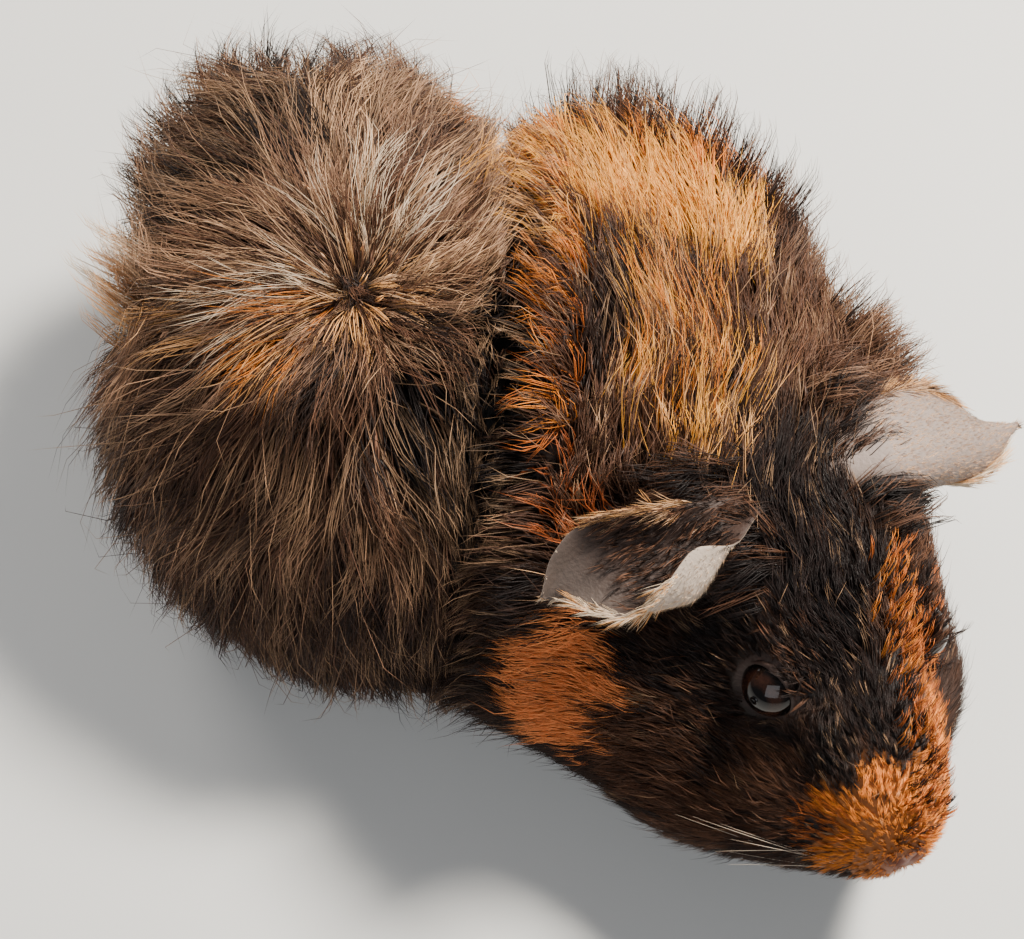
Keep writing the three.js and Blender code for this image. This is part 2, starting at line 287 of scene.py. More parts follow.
def melted(names, grow, voxel):
    """The named nodes, grown and run together into one closed mesh."""
    whole = bmesh.new()
    for name in names:
        one = bmesh.new()
        one.from_mesh(nodes[name].data)
        bmesh.ops.remove_doubles(one, verts=one.verts, dist=1e-6)
        one.normal_update()
        for vertex in one.verts:
            vertex.co += vertex.normal * grow * MM
        part = bpy.data.meshes.new(name)
        one.to_mesh(part)
        whole.from_mesh(part)
    mesh = bpy.data.meshes.new("melted")
    whole.to_mesh(mesh)
    piece = shown("melted", mesh)
    remesh = piece.modifiers.new("run together", "REMESH")
    remesh.mode = "VOXEL"
    remesh.voxel_size = voxel * MM
    result = applied(piece)
    bpy.data.objects.remove(piece)
    return result


outline = melted(FLESH + LEGS + ["eye_left", "eye_right"], grow=0.4, voxel=1.5)
print("outline faces:", len(outline.polygons))

# %% How far a point is from a surface
class Distance:
    """Distance in mm from a closed mesh, less than 0 inside it, worked out on a grid and read between."""

    def __init__(self, mesh, spacing=2.8, margin=14):
        corners = [vertex.co / MM for vertex in mesh.vertices]
        tree = BVHTree.FromPolygons(corners, [face.vertices for face in mesh.polygons])
        self.low = np.array(cad_low) / MM - margin
        self.spacing = spacing
        size = np.ceil((np.array(cad_high) / MM + margin - self.low) / spacing).astype(int) + 1
        steps = np.stack(np.meshgrid(*map(np.arange, size), indexing="ij"), -1).reshape(-1, 3)
        values = []
        for place in map(Vector, self.low + steps * spacing):
            nearest, normal, _, distance = tree.find_nearest(place)
            values.append(distance if (place - nearest).dot(normal) > 0 else -distance)
        grid = np.array(values).reshape(size)
        self.table = np.stack([grid, *np.gradient(grid, spacing)], -1)

    def __call__(self, points):
        """The distances, and the unit directions in which they grow."""
        cell = np.clip((points - self.low) / self.spacing, 0, np.array(self.table.shape[:3]) - 1.001)
        whole = cell.astype(int)
        share = cell - whole
        found = 0
        for corner in np.ndindex(2, 2, 2):
            weight = np.prod(np.where(corner, share, 1 - share), axis=1)
            found = found + weight[:, None] * self.table[tuple((whole + corner).T)]
        return found[:, 0], unit(found[:, 1:])


from_outline = Distance(outline)
print("outline distances:", from_outline.table.shape[:3])


# %% How deep the coat is
def near_eye(points):
    return np.minimum(*(np.linalg.norm(points - centre, axis=1) for centre in eyes.values()))


def coat_depth(points):
    """Millimetres from the skin to the tips, which is least on the muzzle, round the eyes and underneath."""
    ahead, _, up = in_head(points).T
    trunk = mix(8.0, 13.0, ramp(points[:, 0], 30, -30))
    face = ramp(ahead, -16, 14) * ramp(up, -75, -60)
    depth = mix(trunk, 3.4 - 1.9 * ramp(ahead, 28, 50), face)
    depth *= mix(0.3, 1.0, ramp(near_eye(points), 6, 12))
    return np.minimum(depth, 2 + 0.45 * np.maximum(points[:, 2], 0))


def edges_of(mesh):
    flat = np.empty(len(mesh.edges) * 2, np.int32)
    mesh.edges.foreach_get("vertices", flat)
    return flat.reshape(-1, 2)


def smoothed(points, edges, times, push_back=0.52):
    """Evens out the points. Every second pass pushes back a little more, so that the form doesn't shrink."""
    neighbours = np.bincount(edges.ravel(), minlength=len(points))[:, None]
    for share in (0.5, -push_back) * times:
        total = np.zeros_like(points)
        for axis in range(3):
            for here, there in (edges.T, edges.T[::-1]):
                total[:, axis] += np.bincount(here, points[there, axis], len(points))
        points = points + share * (total / neighbours - points)
    return points


# %% From the tips of the coat down to the skin
SETTLING_STEPS = 12
# The furrow and crest belong to the coat, so the trunk's skin is evened out this many times.
FURROW_SMOOTHING = 40


def settled(mesh):
    """Moves a copy of the outline inward by the coat's depth."""
    edges = edges_of(mesh)
    points = points_of(mesh)
    for _ in range(SETTLING_STEPS):
        outside, away = from_outline(points)
        points = points - 0.4 * (outside + coat_depth(points))[:, None] * away
        points = smoothed(points, edges, 2)
    move_to(mesh, points)
    return mesh


def remeshed(mesh, voxel):
    """The same form with new faces of one even size, which also cuts away any part that has folded over."""
    piece = shown("remeshed", mesh)
    remesh = piece.modifiers.new("even faces", "REMESH")
    remesh.mode = "VOXEL"
    remesh.voxel_size = voxel * MM
    result = applied(piece)
    bpy.data.objects.remove(piece)
    return result


def evened(points, edges):
    """Smooths the trunk much, the cheeks and crown less, and the face little."""
    ahead = in_head(points)[:, 0]
    cheeks = 0.5 * ramp(ahead, 30, 14) * ramp(near_eye(points), 10, 14)
    trunk = np.maximum(ramp(coat_depth(points), 4, 8), cheeks)[:, None]
    for _ in range(FURROW_SMOOTHING):
        points = mix(points, smoothed(points, edges, 1, push_back=0.3), trunk)
    return smoothed(points, edges, 3)


body = remeshed(settled(outline.copy()), 1.5)
move_to(body, evened(points_of(body), edges_of(body)))
ROSETTE = np.array([-31.5, -14.5, 80])  # the whorl over the right hip
# The hair of the whorl is short at its heart, so the skin rises there to keep a pit from showing.
outside, away = from_outline(points_of(body))
near = bell(np.linalg.norm((points_of(body) - ROSETTE) * [1, 1, 0.5], axis=1), 12)
move_to(body, points_of(body) - (0.6 * outside * near)[:, None] * away)
print("skin box in mm:", points_of(body).min(0).round(1), points_of(body).max(0).round(1))


# %% Finer faces where the face needs them
def refined(mesh, centre, radius):
    """Splits each face near a point in four."""
    bm = bmesh.new()
    bm.from_mesh(mesh)
    place = Vector(centre * MM)
    near = [e for e in bm.edges if all((v.co - place).length < radius * MM for v in e.verts)]
    bmesh.ops.subdivide_edges(bm, edges=near, cuts=1, use_grid_fill=True, smooth=0.3)
    bm.to_mesh(mesh)
    bm.free()


MUZZLE = from_head([53, 0, -40])
for centre in (*eyes.values(), MUZZLE):
    refined(body, centre, 15)
    refined(body, centre, 12)
bm = bmesh.new()
bm.from_mesh(body)
bmesh.ops.triangulate(bm, faces=bm.faces)
bm.to_mesh(body)
bm.free()
print("skin faces:", len(body.polygons))

# %% [markdown]
# ## Nose and mouth
# A guinea pig's nostrils are two commas that face forward, over a short groove that runs down to the closed
# mouth. These are lines in the surface, so they are pressed into the skin: each point goes in by how near
# it lies to them.

# %% Nostrils, groove and mouth
NOSTRIL_OUT, NOSTRIL_DOWN = 2.9, 36.8
MOUTH = [[58, 0, -40], [57, 0, -45], [53, 3.5, -47.5], [46, 7.5, -49], [39, 9.5, -49]]


def distance_to_line(points, line):
    """How far points lie from a line of straight stretches."""
    nearest = np.full(len(points), 1e9)
    for start, end in zip(line[:-1], line[1:]):
        along = end - start
        share = np.clip((points - start) @ along / (along @ along), 0, 1)
        nearest = np.minimum(nearest, np.linalg.norm(points - start - share[:, None] * along, axis=1))
    return nearest


def pressed(points, normals):
    ahead, left, up = in_head(points).T
    sideways = np.abs(left)
    lean = (sideways - NOSTRIL_OUT) * 0.8 + (up + NOSTRIL_DOWN) * 0.6
    across = (up + NOSTRIL_DOWN) * 0.8 - (sideways - NOSTRIL_OUT) * 0.6
    nostril = 3.0 * bell(lean, 1.8) * bell(across, 0.8) * ramp(ahead, 48, 53)
    folded = np.column_stack([ahead, sideways, up])
    lips = 1.4 * bell(distance_to_line(folded, np.array(MOUTH, float)), 0.75)
    cushion = -0.8 * bell(sideways - 4.5, 3.2) * bell(up + 42.5, 3.2) * ramp(ahead, 46, 52)
    return points - (nostril + lips + cushion)[:, None] * normals


move_to(body, pressed(points_of(body), normals_of(body)))

# %% [markdown]
# ## Eyelids
# The lids are a thin, nearly bald rim that lies on the eyeball and runs out into the skin. A band follows
# the eyeball round the opening, first up over the rim and then down under the skin, and a little corner
# points to the nose.

# %% Lids that lie on the eyeball
def collared(points):
    """Raises the skin round each eyeball to meet its lid, and keeps it inside the ball behind the opening."""
    for side, centre in eyes.items():
        out = points - centre
        far = np.linalg.norm(out, axis=1)
        angle = np.degrees(np.arccos(np.clip(out @ gaze_of(side) / far, -1, 1)))
        rim = EYE_RADIUS - 1.6 + 1.95 * ramp(angle, 63, 74) - 0.03 * np.maximum(angle - 76, 0)
        raised = np.where(angle < 63, np.minimum(far, rim), np.maximum(far, rim))
        raised = np.where(far < 2 * EYE_RADIUS, raised, far)
        points = centre + out * (raised / far)[:, None]
    return points


LID_STEPS = 56
# From the rim outwards: degrees past the opening, and mm above the eyeball.
LID_SECTION = [(1, 0.0), (-1, 0.16), (-0.5, 0.4), (2.5, 0.54), (7, 0.5), (12, 0.15), (20, -0.6), (28, -1.6)]
LID_OPENING = {"wide": 66, "high": 61, "corner": 7}  # half angles in degrees


def gaze_of(side):
    """The way an eye looks, which is straight out of the head where it sits."""
    _, away = from_outline(eyes[side][None])
    return unit(away[0] + 0.35 * (head_axes[1] if side == "left" else -head_axes[1]) - 0.1 * head_axes[2])


def eye_axes(side):
    gaze = gaze_of(side)
    ahead = unit(forward - gaze * (forward @ gaze))
    return np.array([gaze, ahead, np.cross(gaze, ahead) * (1 if side == "right" else -1)])


def strip_faces(rings, steps, flip=False):
    """Triangles between rings of points, each ring closed."""
    ring, step = np.meshgrid(np.arange(rings - 1), np.arange(steps), indexing="ij")
    here = ring * steps + step
    beside = ring * steps + (step + 1) % steps
    quads = np.stack([here, beside, beside + steps, here + steps], -1).reshape(-1, 4)
    if flip:
        quads = quads[:, ::-1]
    return np.concatenate([quads[:, [0, 1, 2]], quads[:, [0, 2, 3]]])


def lid(side):
    round_ = np.linspace(0, 2 * np.pi, LID_STEPS, endpoint=False)
    opening = np.hypot(LID_OPENING["wide"] * np.cos(round_), LID_OPENING["high"] * np.sin(round_))
    from_corner = np.arctan2(np.sin(round_ + 0.5), np.cos(round_ + 0.5))
    opening = opening + LID_OPENING["corner"] * bell(from_corner, 0.3)
    gaze, ahead, up = eye_axes(side)
    rings = []
    for past, above in LID_SECTION:
        angle = np.radians(opening + past)[:, None]
        crease = 0.12 * np.cos(9 * round_)[:, None] * (above > 0.5)
        out = np.cos(round_)[:, None] * ahead + np.sin(round_)[:, None] * up
        rings.append((EYE_RADIUS + above + crease) * (np.cos(angle) * gaze + np.sin(angle) * out)
                     + eyes[side])
    return np.concatenate(rings), strip_faces(len(rings), LID_STEPS, flip=side == "right")


EYE_SUNK = 0.4  # mm deeper in the head than the solid, so that the fur comes up round the lids
for side in eyes:
    eyes[side] = eyes[side] - EYE_SUNK * gaze_of(side)
move_to(body, collared(points_of(body)))
move_to(body, smoothed(points_of(body), edges_of(body), 1))
lids = {side: lid(side) for side in eyes}
print("an eye looks along, in the head's directions:", (head_axes @ gaze_of("right")).round(2))

# %% [markdown]
# ## Ears
# Each ear is a thin petal that hangs from the side of the head. Two numbers run over it: across, from its
# rear edge to its front edge, and along, from the root to the tip. Stops say where the petal lies at each
# share of the way across. The near ear's front edge stands up and folds back over the bowl of the ear, so
# its furry back shows.

# %% Petal-shaped ears
EAR = {"forward": 0, "out": 16.8, "down": 0.5, "width": 23, "reach": 31, "root": -0.5}
EAR_POSE = {
    "left": {"droop": 8, "turn": 0, "tilt": 18},
    "right": {"droop": 7, "turn": -6, "tilt": 22},
}
# Shares of the half width, and mm above the petal's plane, for stops from the rear edge to the front edge.
EAR_STOPS = [-1, -0.5, 0, 0.35, 0.55, 0.75, 1]
EAR_FLAT = {
    "left": ([-1, -0.55, 0, 0.4, 0.62, 0.82, 1], [-1.6, 0.2, 1.6, 1.4, 0.4, -1.4, -3.6]),
    "right": ([-1, -0.55, 0, 0.4, 0.62, 0.82, 1], [3.0, -0.4, -1.8, -1.2, 0.2, 2.0, 3.4]),
}
EAR_FOLDED = {
    "left": ([-1, -0.55, 0, 0.42, 0.66, 0.76, 0.72], [-1.8, 0.6, 2.2, 2.4, 0.8, -2.8, -6.4]),
    "right": ([-1, -0.5, 0.1, 0.62, 0.95, 0.9, 0.3], [3.2, -0.6, -2.4, -1.2, 1.6, 4.4, 6.6]),
}
# How far the rear and the front half reach out, for stops from the buried root to the tip.
EAR_ALONG = [-0.5, -0.2, 0.15, 0.4, 0.6, 0.75, 0.9, 1]
EAR_REACH = {
    "left": ([0.3, 0.55, 1.0, 1.0, 0.7, 0.2, 0.06, -0.1], [0.3, 0.5, 0.76, 0.76, 0.72, 0.62, 0.42, 0.12]),
    "right": ([0.05, 0.1, 0.32, 0.6, 0.76, 0.74, 0.5, 0.03], [0.2, 0.3, 0.74, 1.05, 1.0, 0.84, 0.5, 0.03]),
}
EAR_ROWS, EAR_STEPS = 40, 44


def curve(share, stops, values):
    """A smooth curve through stops."""
    fine = np.linspace(min(stops) - 0.3, max(stops) + 0.3, 240)
    window = np.hanning(21)
    padded = np.pad(np.interp(fine, stops, values), 10, mode="edge")
    return np.interp(share, fine, np.convolve(padded, window / window.sum(), "valid"))


def petal(across, along, side):
    """A point of the ear's middle surface, in the ear's own frame."""
    out = np.clip(along, 0, 1)
    past_root = ramp(along, -0.35, 0.0) if side == "left" else ramp(along, -0.05, 0.3)
    folded = (1 - ramp(along, 0.3, 0.85)) * past_root
    sideways = mix(curve(across, EAR_STOPS, EAR_FLAT[side][0]),
                   curve(across, EAR_STOPS, EAR_FOLDED[side][0]), folded)
    height = mix(curve(across, EAR_STOPS, EAR_FLAT[side][1]), curve(across, EAR_STOPS, EAR_FOLDED[side][1]),
                 folded)
    if side == "right":
        height = height * np.where(across < 0, ramp(along, 0.0, 0.35), 1)
    rear, front = (curve(along, EAR_ALONG, reach) for reach in EAR_REACH[side])
    outline = np.where(across < 0, rear, front)
    wave = (0.5 * np.sin(9 * along + 1.5 * across) + 0.35 * np.sin(17 * along)) * np.abs(across) ** 3
    tip = -5 * out**2 + (2.5 if side == "left" else -1.5) * out**5
    buried = -9 * np.maximum(-along, 0) - 12 * np.maximum(-along, 0) ** 2
    lift = height * mix(0.55, 1.0, np.sin(np.pi * np.clip(out * 0.9 + 0.15, 0, 1)))
    reach = EAR["reach"] * (along - 0.06 * across * out)
    return np.stack([sideways * outline * EAR["width"] / 2, reach, lift + wave + tip + buried], -1)


def turned(points, about, degrees):
    """Points turned about one axis of their frame: 0, 1 or 2."""
    c, s = math.cos(math.radians(degrees)), math.sin(math.radians(degrees))
    first, second = [(1, 2), (2, 0), (0, 1)][about]
    result = points.copy()
    result[..., first] = c * points[..., first] - s * points[..., second]
    result[..., second] = s * points[..., first] + c * points[..., second]
    return result


def ear_to_row(points, side):
    pose = EAR_POSE[side]
    points = turned(turned(turned(points, 1, pose["tilt"]), 0, -pose["droop"]), 2, pose["turn"])
    points = points + [EAR["forward"], EAR["out"], -EAR["down"]]
    if side == "right":
        points = points * [1, -1, 1]
    return from_head(points)


def on_ear(across, along, side, above):
    """Points of an ear's surface, where above is 1 on the upper face and -1 on the lower, and the way up."""
    small = 2e-3
    here = petal(across, along, side)
    over = petal(across + small, along, side) - petal(across - small, along, side)
    on = petal(across, along + small, side) - petal(across, along - small, side)
    up = unit(np.cross(over, on))
    half = 0.35 + 0.45 * (1 - np.clip(along, 0, 1))
    place = ear_to_row(here + up * (above * half)[..., None], side)
    return place, unit(ear_to_row(here + up, side) - ear_to_row(here, side))


def ear(side):
    """Rings round the petal, from the root in the head to the tip, and where each point is on the petal."""
    turn = np.linspace(0, 2 * np.pi, EAR_STEPS, endpoint=False)
    share = np.linspace(0, 1, EAR_ROWS)
    rows = EAR["root"] + (1 - EAR["root"]) * mix(share, 1 - (1 - share) ** 2, 0.6)
    where = np.array([np.column_stack([np.cos(turn), np.full(EAR_STEPS, row), np.sin(turn)]) for row in rows])
    where = np.concatenate([where.reshape(-1, 3), [[0, rows[0], 0], [0, rows[-1], 0]]])
    points = on_ear(*where[:, :2].T, side, where[:, 2])[0]
    step = np.arange(EAR_STEPS)
    beside = np.roll(step, -1)
    root_cap = np.column_stack([beside, step, np.full(EAR_STEPS, len(points) - 2)])
    last = (EAR_ROWS - 1) * EAR_STEPS
    tip_cap = np.column_stack([last + step, last + beside, np.full(EAR_STEPS, len(points) - 1)])
    faces = np.concatenate([strip_faces(EAR_ROWS, EAR_STEPS), root_cap, tip_cap])
    return points, faces if side == "right" else faces[:, ::-1], where


ears = {side: ear(side) for side in EAR_POSE}
for side, (points, *_) in ears.items():
    print(side, "ear box in mm:", points.min(0).round(1), points.max(0).round(1))

# %% [markdown]
# ## Markings
# Skin and coat share one set of markings. Each patch is a soft ellipsoid at a place on the animal, with a
# colour and a share of the hairs that take it. A lock of hair draws its own chance against that share, so
# the borders of a patch are ragged and its inside is mixed, as in a real coat.

# %% Colours of the coat
COAT = {
    "black": colour(31, 22, 20),
    "dark": colour(48, 34, 28),
    "brown": colour(98, 66, 48),
    "fawn": colour(150, 112, 86),
    "tan": colour(212, 168, 128),
    "gold": colour(238, 174, 110),
    "cream": colour(250, 222, 190),
    "orange": colour(228, 134, 52),
    # Amber and ginger are raised past their chart values, as painted light that brightens the patches that
    # take them.
    "amber": colour(255, 179, 78) * 1.15,
    "ginger": colour(255, 155, 90) * 1.2,
    "rust": colour(186, 100, 44),
    "red": colour(142, 72, 36),
    "grey": colour(150, 136, 128),
}
# Middle in mm, half sizes along, across and up, turn in degrees, colour, share of the hairs.
PATCHES = [
    ((-38, 20, 82), (30, 26, 14), 0, "fawn", 0.32),
    ((-30, -19, 82), (28, 26, 14), 0, "tan", 0.12),
    ((-80, -25, 62), (22, 24, 22), 0, "fawn", 0.6),
    ((-58, -39, 60), (16, 15, 18), 0, "fawn", 0.5),
    ((-31, -16, 82), (13, 12, 12), 0, "gold", 0.2),
    ((-62, 18, 78), (18, 20, 16), 0, "tan", 0.25),
    ((-66, 12, 76), (17, 14, 14), 0, "black", 0.8),
    ((-4, -24, 74), (13, 27, 22), 10, "black", 0.93),
    ((-79, -2, 74), (10, 13, 12), 0, "black", 0.8),
    ((-31, -3, 88), (12, 9, 8), 150, "cream", 0.3),
    ((-46, -22, 84), (10, 5, 8), 0, "cream", 0.2),
    ((-40, -38, 78), (8, 9, 9), 0, "orange", 0.3),
    ((-63, -36, 72), (8, 8, 9), 0, "gold", 0.7),
    ((-40, -58, 40), (34, 14, 22), 0, "fawn", 0.12),
    ((-14, -52, 60), (16, 14, 20), 0, "brown", 0.3),
    ((-45, 52, 42), (17, 12, 20), 0, "orange", 0.85),
    ((4, 54, 40), (15, 14, 30), 0, "rust", 0.8),
    ((2, 34, 80), (29, 16, 20), 14, "amber", 1.0),
    ((-4, 48, 66), (26, 9, 12), 14, "orange", 0.7),
    ((30, -2, 82), (14, 20, 12), 35, "gold", 0.16),
    ((30, -2, 82), (14, 20, 12), 35, "amber", 0.22),
    ((14, 6, 88), (9, 13, 8), 35, "amber", 0.2),
    ((8, -4, 86), (7, 21, 14), 18, "dark", 0.85),
    ((-7, 2, 92), (4, 13, 9), 20, "orange", 0.7),
    ((14, 15, 88), (11, 7, 9), 20, "black", 0.85),
    ((18, -34, 73), (10, 15, 14), 0, "red", 0.5),
    ((46, 22, 70), (16, 14, 12), 0, "brown", 0.6),
    ((52, -6, 76), (14, 16, 9), 0, "black", 0.9),
    ((26, -53, 46), (13, 12, 22), 0, "ginger", 0.95),
    ((43, -52, 44), (14, 12, 14), 0, "brown", 0.7),
    ((50, -58, 30), (18, 12, 12), 0, "brown", 0.8),
    ((66, -50, 42), (10, 9, 9), 0, "brown", 0.8),
    ((70, 6, 44), (12, 16, 18), 0, "brown", 0.6),
    ((62, -26, 70), (14, 15, 10), 0, "black", 0.9),
    ((84, -14, 56), (9, 17, 14), 0, "rust", 0.5),
    ((92, -26, 46), (8, 10, 12), 0, "orange", 0.8),
    ((80, -32, 59), (8, 9, 13), 0, "black", 0.92),
    ((90, -45, 39), (15, 15, 16), 0, "orange", 0.98),
    ((78, -52, 42), (7, 6, 8), 0, "rust", 0.6),
]


def noise(points, size, seed):
    """Smooth values of about -1 to 1 that change over a distance in mm."""
    draw = np.random.default_rng(seed)
    waves = unit(draw.normal(size=(9, 3))) * draw.uniform(0.6, 1.6, (9, 1)) / size
    return np.sin(points @ waves.T * 2.4 + draw.uniform(0, 6.3, 9)).sum(1) / 3.6


def within(points, centre, half, turn):
    """1 at the middle of a soft ellipsoid and less than 0 outside it."""
    c, s = math.cos(math.radians(turn)), math.sin(math.radians(turn))
    off = points - centre
    off = np.column_stack([c * off[:, 0] + s * off[:, 1], c * off[:, 1] - s * off[:, 0], off[:, 2]])
    return 1 - np.sqrt(((off / half) ** 2).sum(1))


def marked(points, chance):
    """The coat's colour at each point, with painted shade low down. chance is 0 to 1 and decides between the
    colours that mix there.
    """
    share = mix(0.65, 0.12, ramp(in_head(points)[:, 0], -30, 10)) + 0.25 * noise(points, 6, 3)
    # Low on the body the coat is drawn towards black, as painted shade.
    share = share * mix(0.5, 1.0, ramp(points[:, 2], 30, 64))
    # Low on the head it is drawn back towards brown, partly for the brown cheeks and partly as painted light
    # that lifts their shade.
    share = share + 0.16 * ramp(points[:, 2], 52, 34) * ramp(in_head(points)[:, 0], -10, 20)
    result = mix(COAT["black"], COAT["brown"], (share + 0.4 * (chance - 0.5))[:, None].clip(0, 1))
    for order, (centre, half, turn, name, cover) in enumerate(PATCHES):
        inside = ramp(within(points, centre, half, turn) + 0.2 * noise(points, 4, 20 + order), -0.08, 0.3)
        takes = np.mod(chance * 7.13 + order * 0.37, 1) < inside * cover
        result = np.where(takes[:, None], COAT[name], result)
    return result


def paleness(points):
    """The share of the hairs whose tips end pale: most on the rump, few on the face, and fewer low down as
    painted shade.
    """
    behind = mix(0.5, 0.15, ramp(before_parting(points), -2, 2))
    behind = behind * mix(1.0, 0.3, ramp(in_head(points)[:, 0], -15, 5))
    return behind * mix(0.4, 1.0, ramp(points[:, 2], 30, 64))


print("colours:", len(COAT), "patches:", len(PATCHES))

# %% [markdown]
# ## The lie of the coat
# On the head and shoulders the hair runs back from the nose and down the sides. Over the loin it meets hair
# that spreads from a rosette on the hip, and the two stand up against each other along a crest. Smaller
# rosettes sit on the rear. Every lock follows this flow over the skin, so the flow is one function of a
# place.

# %% Which way the hair lies
# The line where the two lies of the coat meet, from the right side over the back to the left, as x and y in
# mm.
PARTING = np.array([[9.0, -56], [8, -45], [7, -30], [4, -14], [-4, 2], [-13, 16], [-23, 30], [-34, 50],
                    [-40, 64]])
SPINE = np.array([[-95.0, 2], [-60, 0], [-20, 6], [15, 9], [38, 2], [58, -16], [95, -46]])
SHOULDER_WHORL = np.array([28.0, -16, 78])  # behind the right ear the hair runs up to the spine
REAR_ROSETTES = [np.array([-70.0, 33, 68]), np.array([-80.0, -28, 58])]


def before_parting(points):
    """Millimetres in front of the line where the coat parts, less than 0 behind it."""
    line_x = np.interp(points[:, 1], PARTING[:, 1], PARTING[:, 0])
    return 0.87 * (points[:, 0] - line_x) + 1.5 * noise(points, 8, 5)


def lie(points, in_front):
    """The way the hair lies. in_front is 1 for hair that is rooted before the parting and 0 behind it."""
    spine_y = np.interp(points[:, 0], *SPINE.T)
    slope = np.interp(points[:, 0] + 4, *SPINE.T) - np.interp(points[:, 0] - 4, *SPINE.T)
    back = unit(np.column_stack([np.full(len(points), -8.0), -slope, np.zeros(len(points))]))
    behind_ear = bell(np.linalg.norm(points - SHOULDER_WHORL, axis=1), 26)[:, None]
    back = unit(back + [0, 0.25, 0] + behind_ear * [0.35, 0.75, 0])
    spread = np.zeros_like(points)
    spread[:, 1] = np.clip((points[:, 1] - spine_y) / 38, -1, 1)
    front = unit(back + 0.55 * spread * (1 - behind_ear) - [0, 0, 0.42] * (1 - behind_ear))
    ahead = ramp(in_head(points)[:, 0], -8, 22)[:, None]
    front = mix(front, unit(points - NOSE + [0, 0, 4]), ahead)
    off = points - ROSETTE
    near = bell(np.linalg.norm(off, axis=1), 22)[:, None]
    rear = unit(off) + 0.1 * np.cross([0, 0, 1.0], unit(off)) * near - [0, 0, 0.35] * (1 - near)
    for whorl in REAR_ROSETTES:
        off = points - whorl
        rear = mix(rear, unit(off) * 1.3, bell(np.linalg.norm(off, axis=1), 17)[:, None])
    flow = mix(unit(rear), front, in_front[:, None])
    for centre in eyes.values():
        away = points - centre
        flow = flow + 0.9 * unit(away) * bell(np.linalg.norm(away, axis=1) - 5, 6)[:, None]
    swirl = np.column_stack([noise(points, 10, seed) for seed in (31, 32, 33)])
    return unit(flow + 0.26 * swirl)


print("parting points:", len(PARTING), "rear rosettes:", len(REAR_ROSETTES))

# %% [markdown]
# ## Where the locks grow
# The skin is unwrapped first, so that every lock can say where its root is on that unwrap. Then roots are
# spread over the skin with a density that changes from place to place, many and small on the face, fewer
# and longer on the back.

# %% Unwrap of the skin
def unwrapped(mesh):
    """Gives a mesh an even unwrap of its own shape."""
    piece = shown("unwrap", mesh)
    mesh.uv_layers.new(name="OFBake")
    bpy.context.view_layer.objects.active = piece
    piece.select_set(True)
    bpy.ops.object.mode_set(mode="EDIT")
    bpy.ops.mesh.select_all(action="SELECT")
    bpy.ops.uv.smart_project(angle_limit=math.radians(66), island_margin=0.006)
    bpy.ops.object.mode_set(mode="OBJECT")
    bpy.data.objects.remove(piece)


unwrapped(body)
from_skin = Distance(body, spacing=1.6)  # fine enough for the rims round the eyes
print("unwrap layers:", [layer.name for layer in body.uv_layers])


# %% Roots spread over a surface
class Surface:
    """The triangles of a mesh as arrays, to pick places on."""

    def __init__(self, mesh, values=None):
        count = len(mesh.polygons)
        corners = triangles_of(mesh)
        flat = np.empty(count * 6)
        mesh.uv_layers["OFBake"].data.foreach_get("uv", flat)
        self.corners = points_of(mesh)[corners]
        self.values = None if values is None else values[corners]
        self.uv = flat.reshape(-1, 3, 2)
        sides = self.corners[:, 1:] - self.corners[:, :1]
        cross = np.cross(sides[:, 0], sides[:, 1])
        self.area = np.linalg.norm(cross, axis=1) / 2
        self.middle = self.corners.mean(1)
        self.normal = unit(cross)

    def scattered(self, density):
        """Places for a density in hairs per square mm, with their normals and their spots on the unwrap."""
        share = np.cumsum(self.area * density)
        picks = np.arange(0.5, share[-1])
        picks = picks + rng.uniform(-0.5, 0.5, len(picks))
        face = np.searchsorted(share, picks).clip(0, len(share) - 1)
        first, second = rng.uniform(size=(2, len(face)))
        over = first + second > 1
        first, second = np.where(over, 1 - first, first), np.where(over, 1 - second, second)
        weight = np.column_stack([1 - first - second, first, second])
        place = (self.corners[face] * weight[..., None]).sum(1)
        found = place, self.normal[face], (self.uv[face] * weight[..., None]).sum(1)
        return found if self.values is None else (*found, (self.values[face] * weight[..., None]).sum(1))


skin = Surface(body)
on_head = ramp(in_head(skin.middle)[:, 0], -8, 4) * ramp(in_head(skin.middle)[:, 2], -72, -60)
underneath = ramp(-skin.normal[:, 2], 0.45, 0.8) * ramp(skin.middle[:, 2], 30, 12)
on_eye = np.zeros(len(skin.middle))
for side, centre in eyes.items():
    out = skin.middle - centre
    angle = np.degrees(np.arccos(unit(out) @ gaze_of(side)))
    on_eye = np.maximum(on_eye, ramp(angle, 77, 72) * ramp(np.linalg.norm(out, axis=1), 6.7, 6.1))
print("skin in square cm: head", round((skin.area * on_head).sum() / 100), "all",
      round(skin.area.sum() / 100))

# %% [markdown]
# ## Locks of hair
# A lock starts at its root and takes a few steps along the flow. At each step it rises to its own share of
# the height between the skin and the outside of the coat, so the tips together draw the animal's outline.
# The hairs of a lock share that path. They start side by side, draw together towards the tip, and each
# bends a little its own way.

# %% Paths along the flow
def laid(points, normals, length, lift, stray, steps):
    """Paths from the skin, each a row of points. lift is the share of the coat's depth at the tip."""
    turn = rng.normal(0, 1, (len(points), 1)) * stray
    in_front = ramp(before_parting(points), -1, 1)
    path = [points - 0.4 * normals]
    place, kept_room = points, 0
    for step in range(1, steps + 1):
        height, up = from_skin(place)
        flow = lie(place, in_front)
        flow = flow + turn * np.cross(up, flow)
        flow = unit(flow - up * (flow * up).sum(1)[:, None])
        place = place + flow * (length / steps)[:, None]
        height, up = from_skin(place)
        outside, _ = from_outline(place)
        # Hair from the shoulders keeps its height where the furrow falls away under it.
        room = np.maximum(height - outside, 0.6)
        kept_room = np.maximum(room, kept_room * 0.8 * in_front)
        goal = kept_room * lift * (1 - (1 - step / steps) ** 1.6)
        place = place + up * (goal - height)[:, None]
        place[:, 2] = np.maximum(place[:, 2], 0.3)
        path.append(place)
    return np.stack(path, 1)


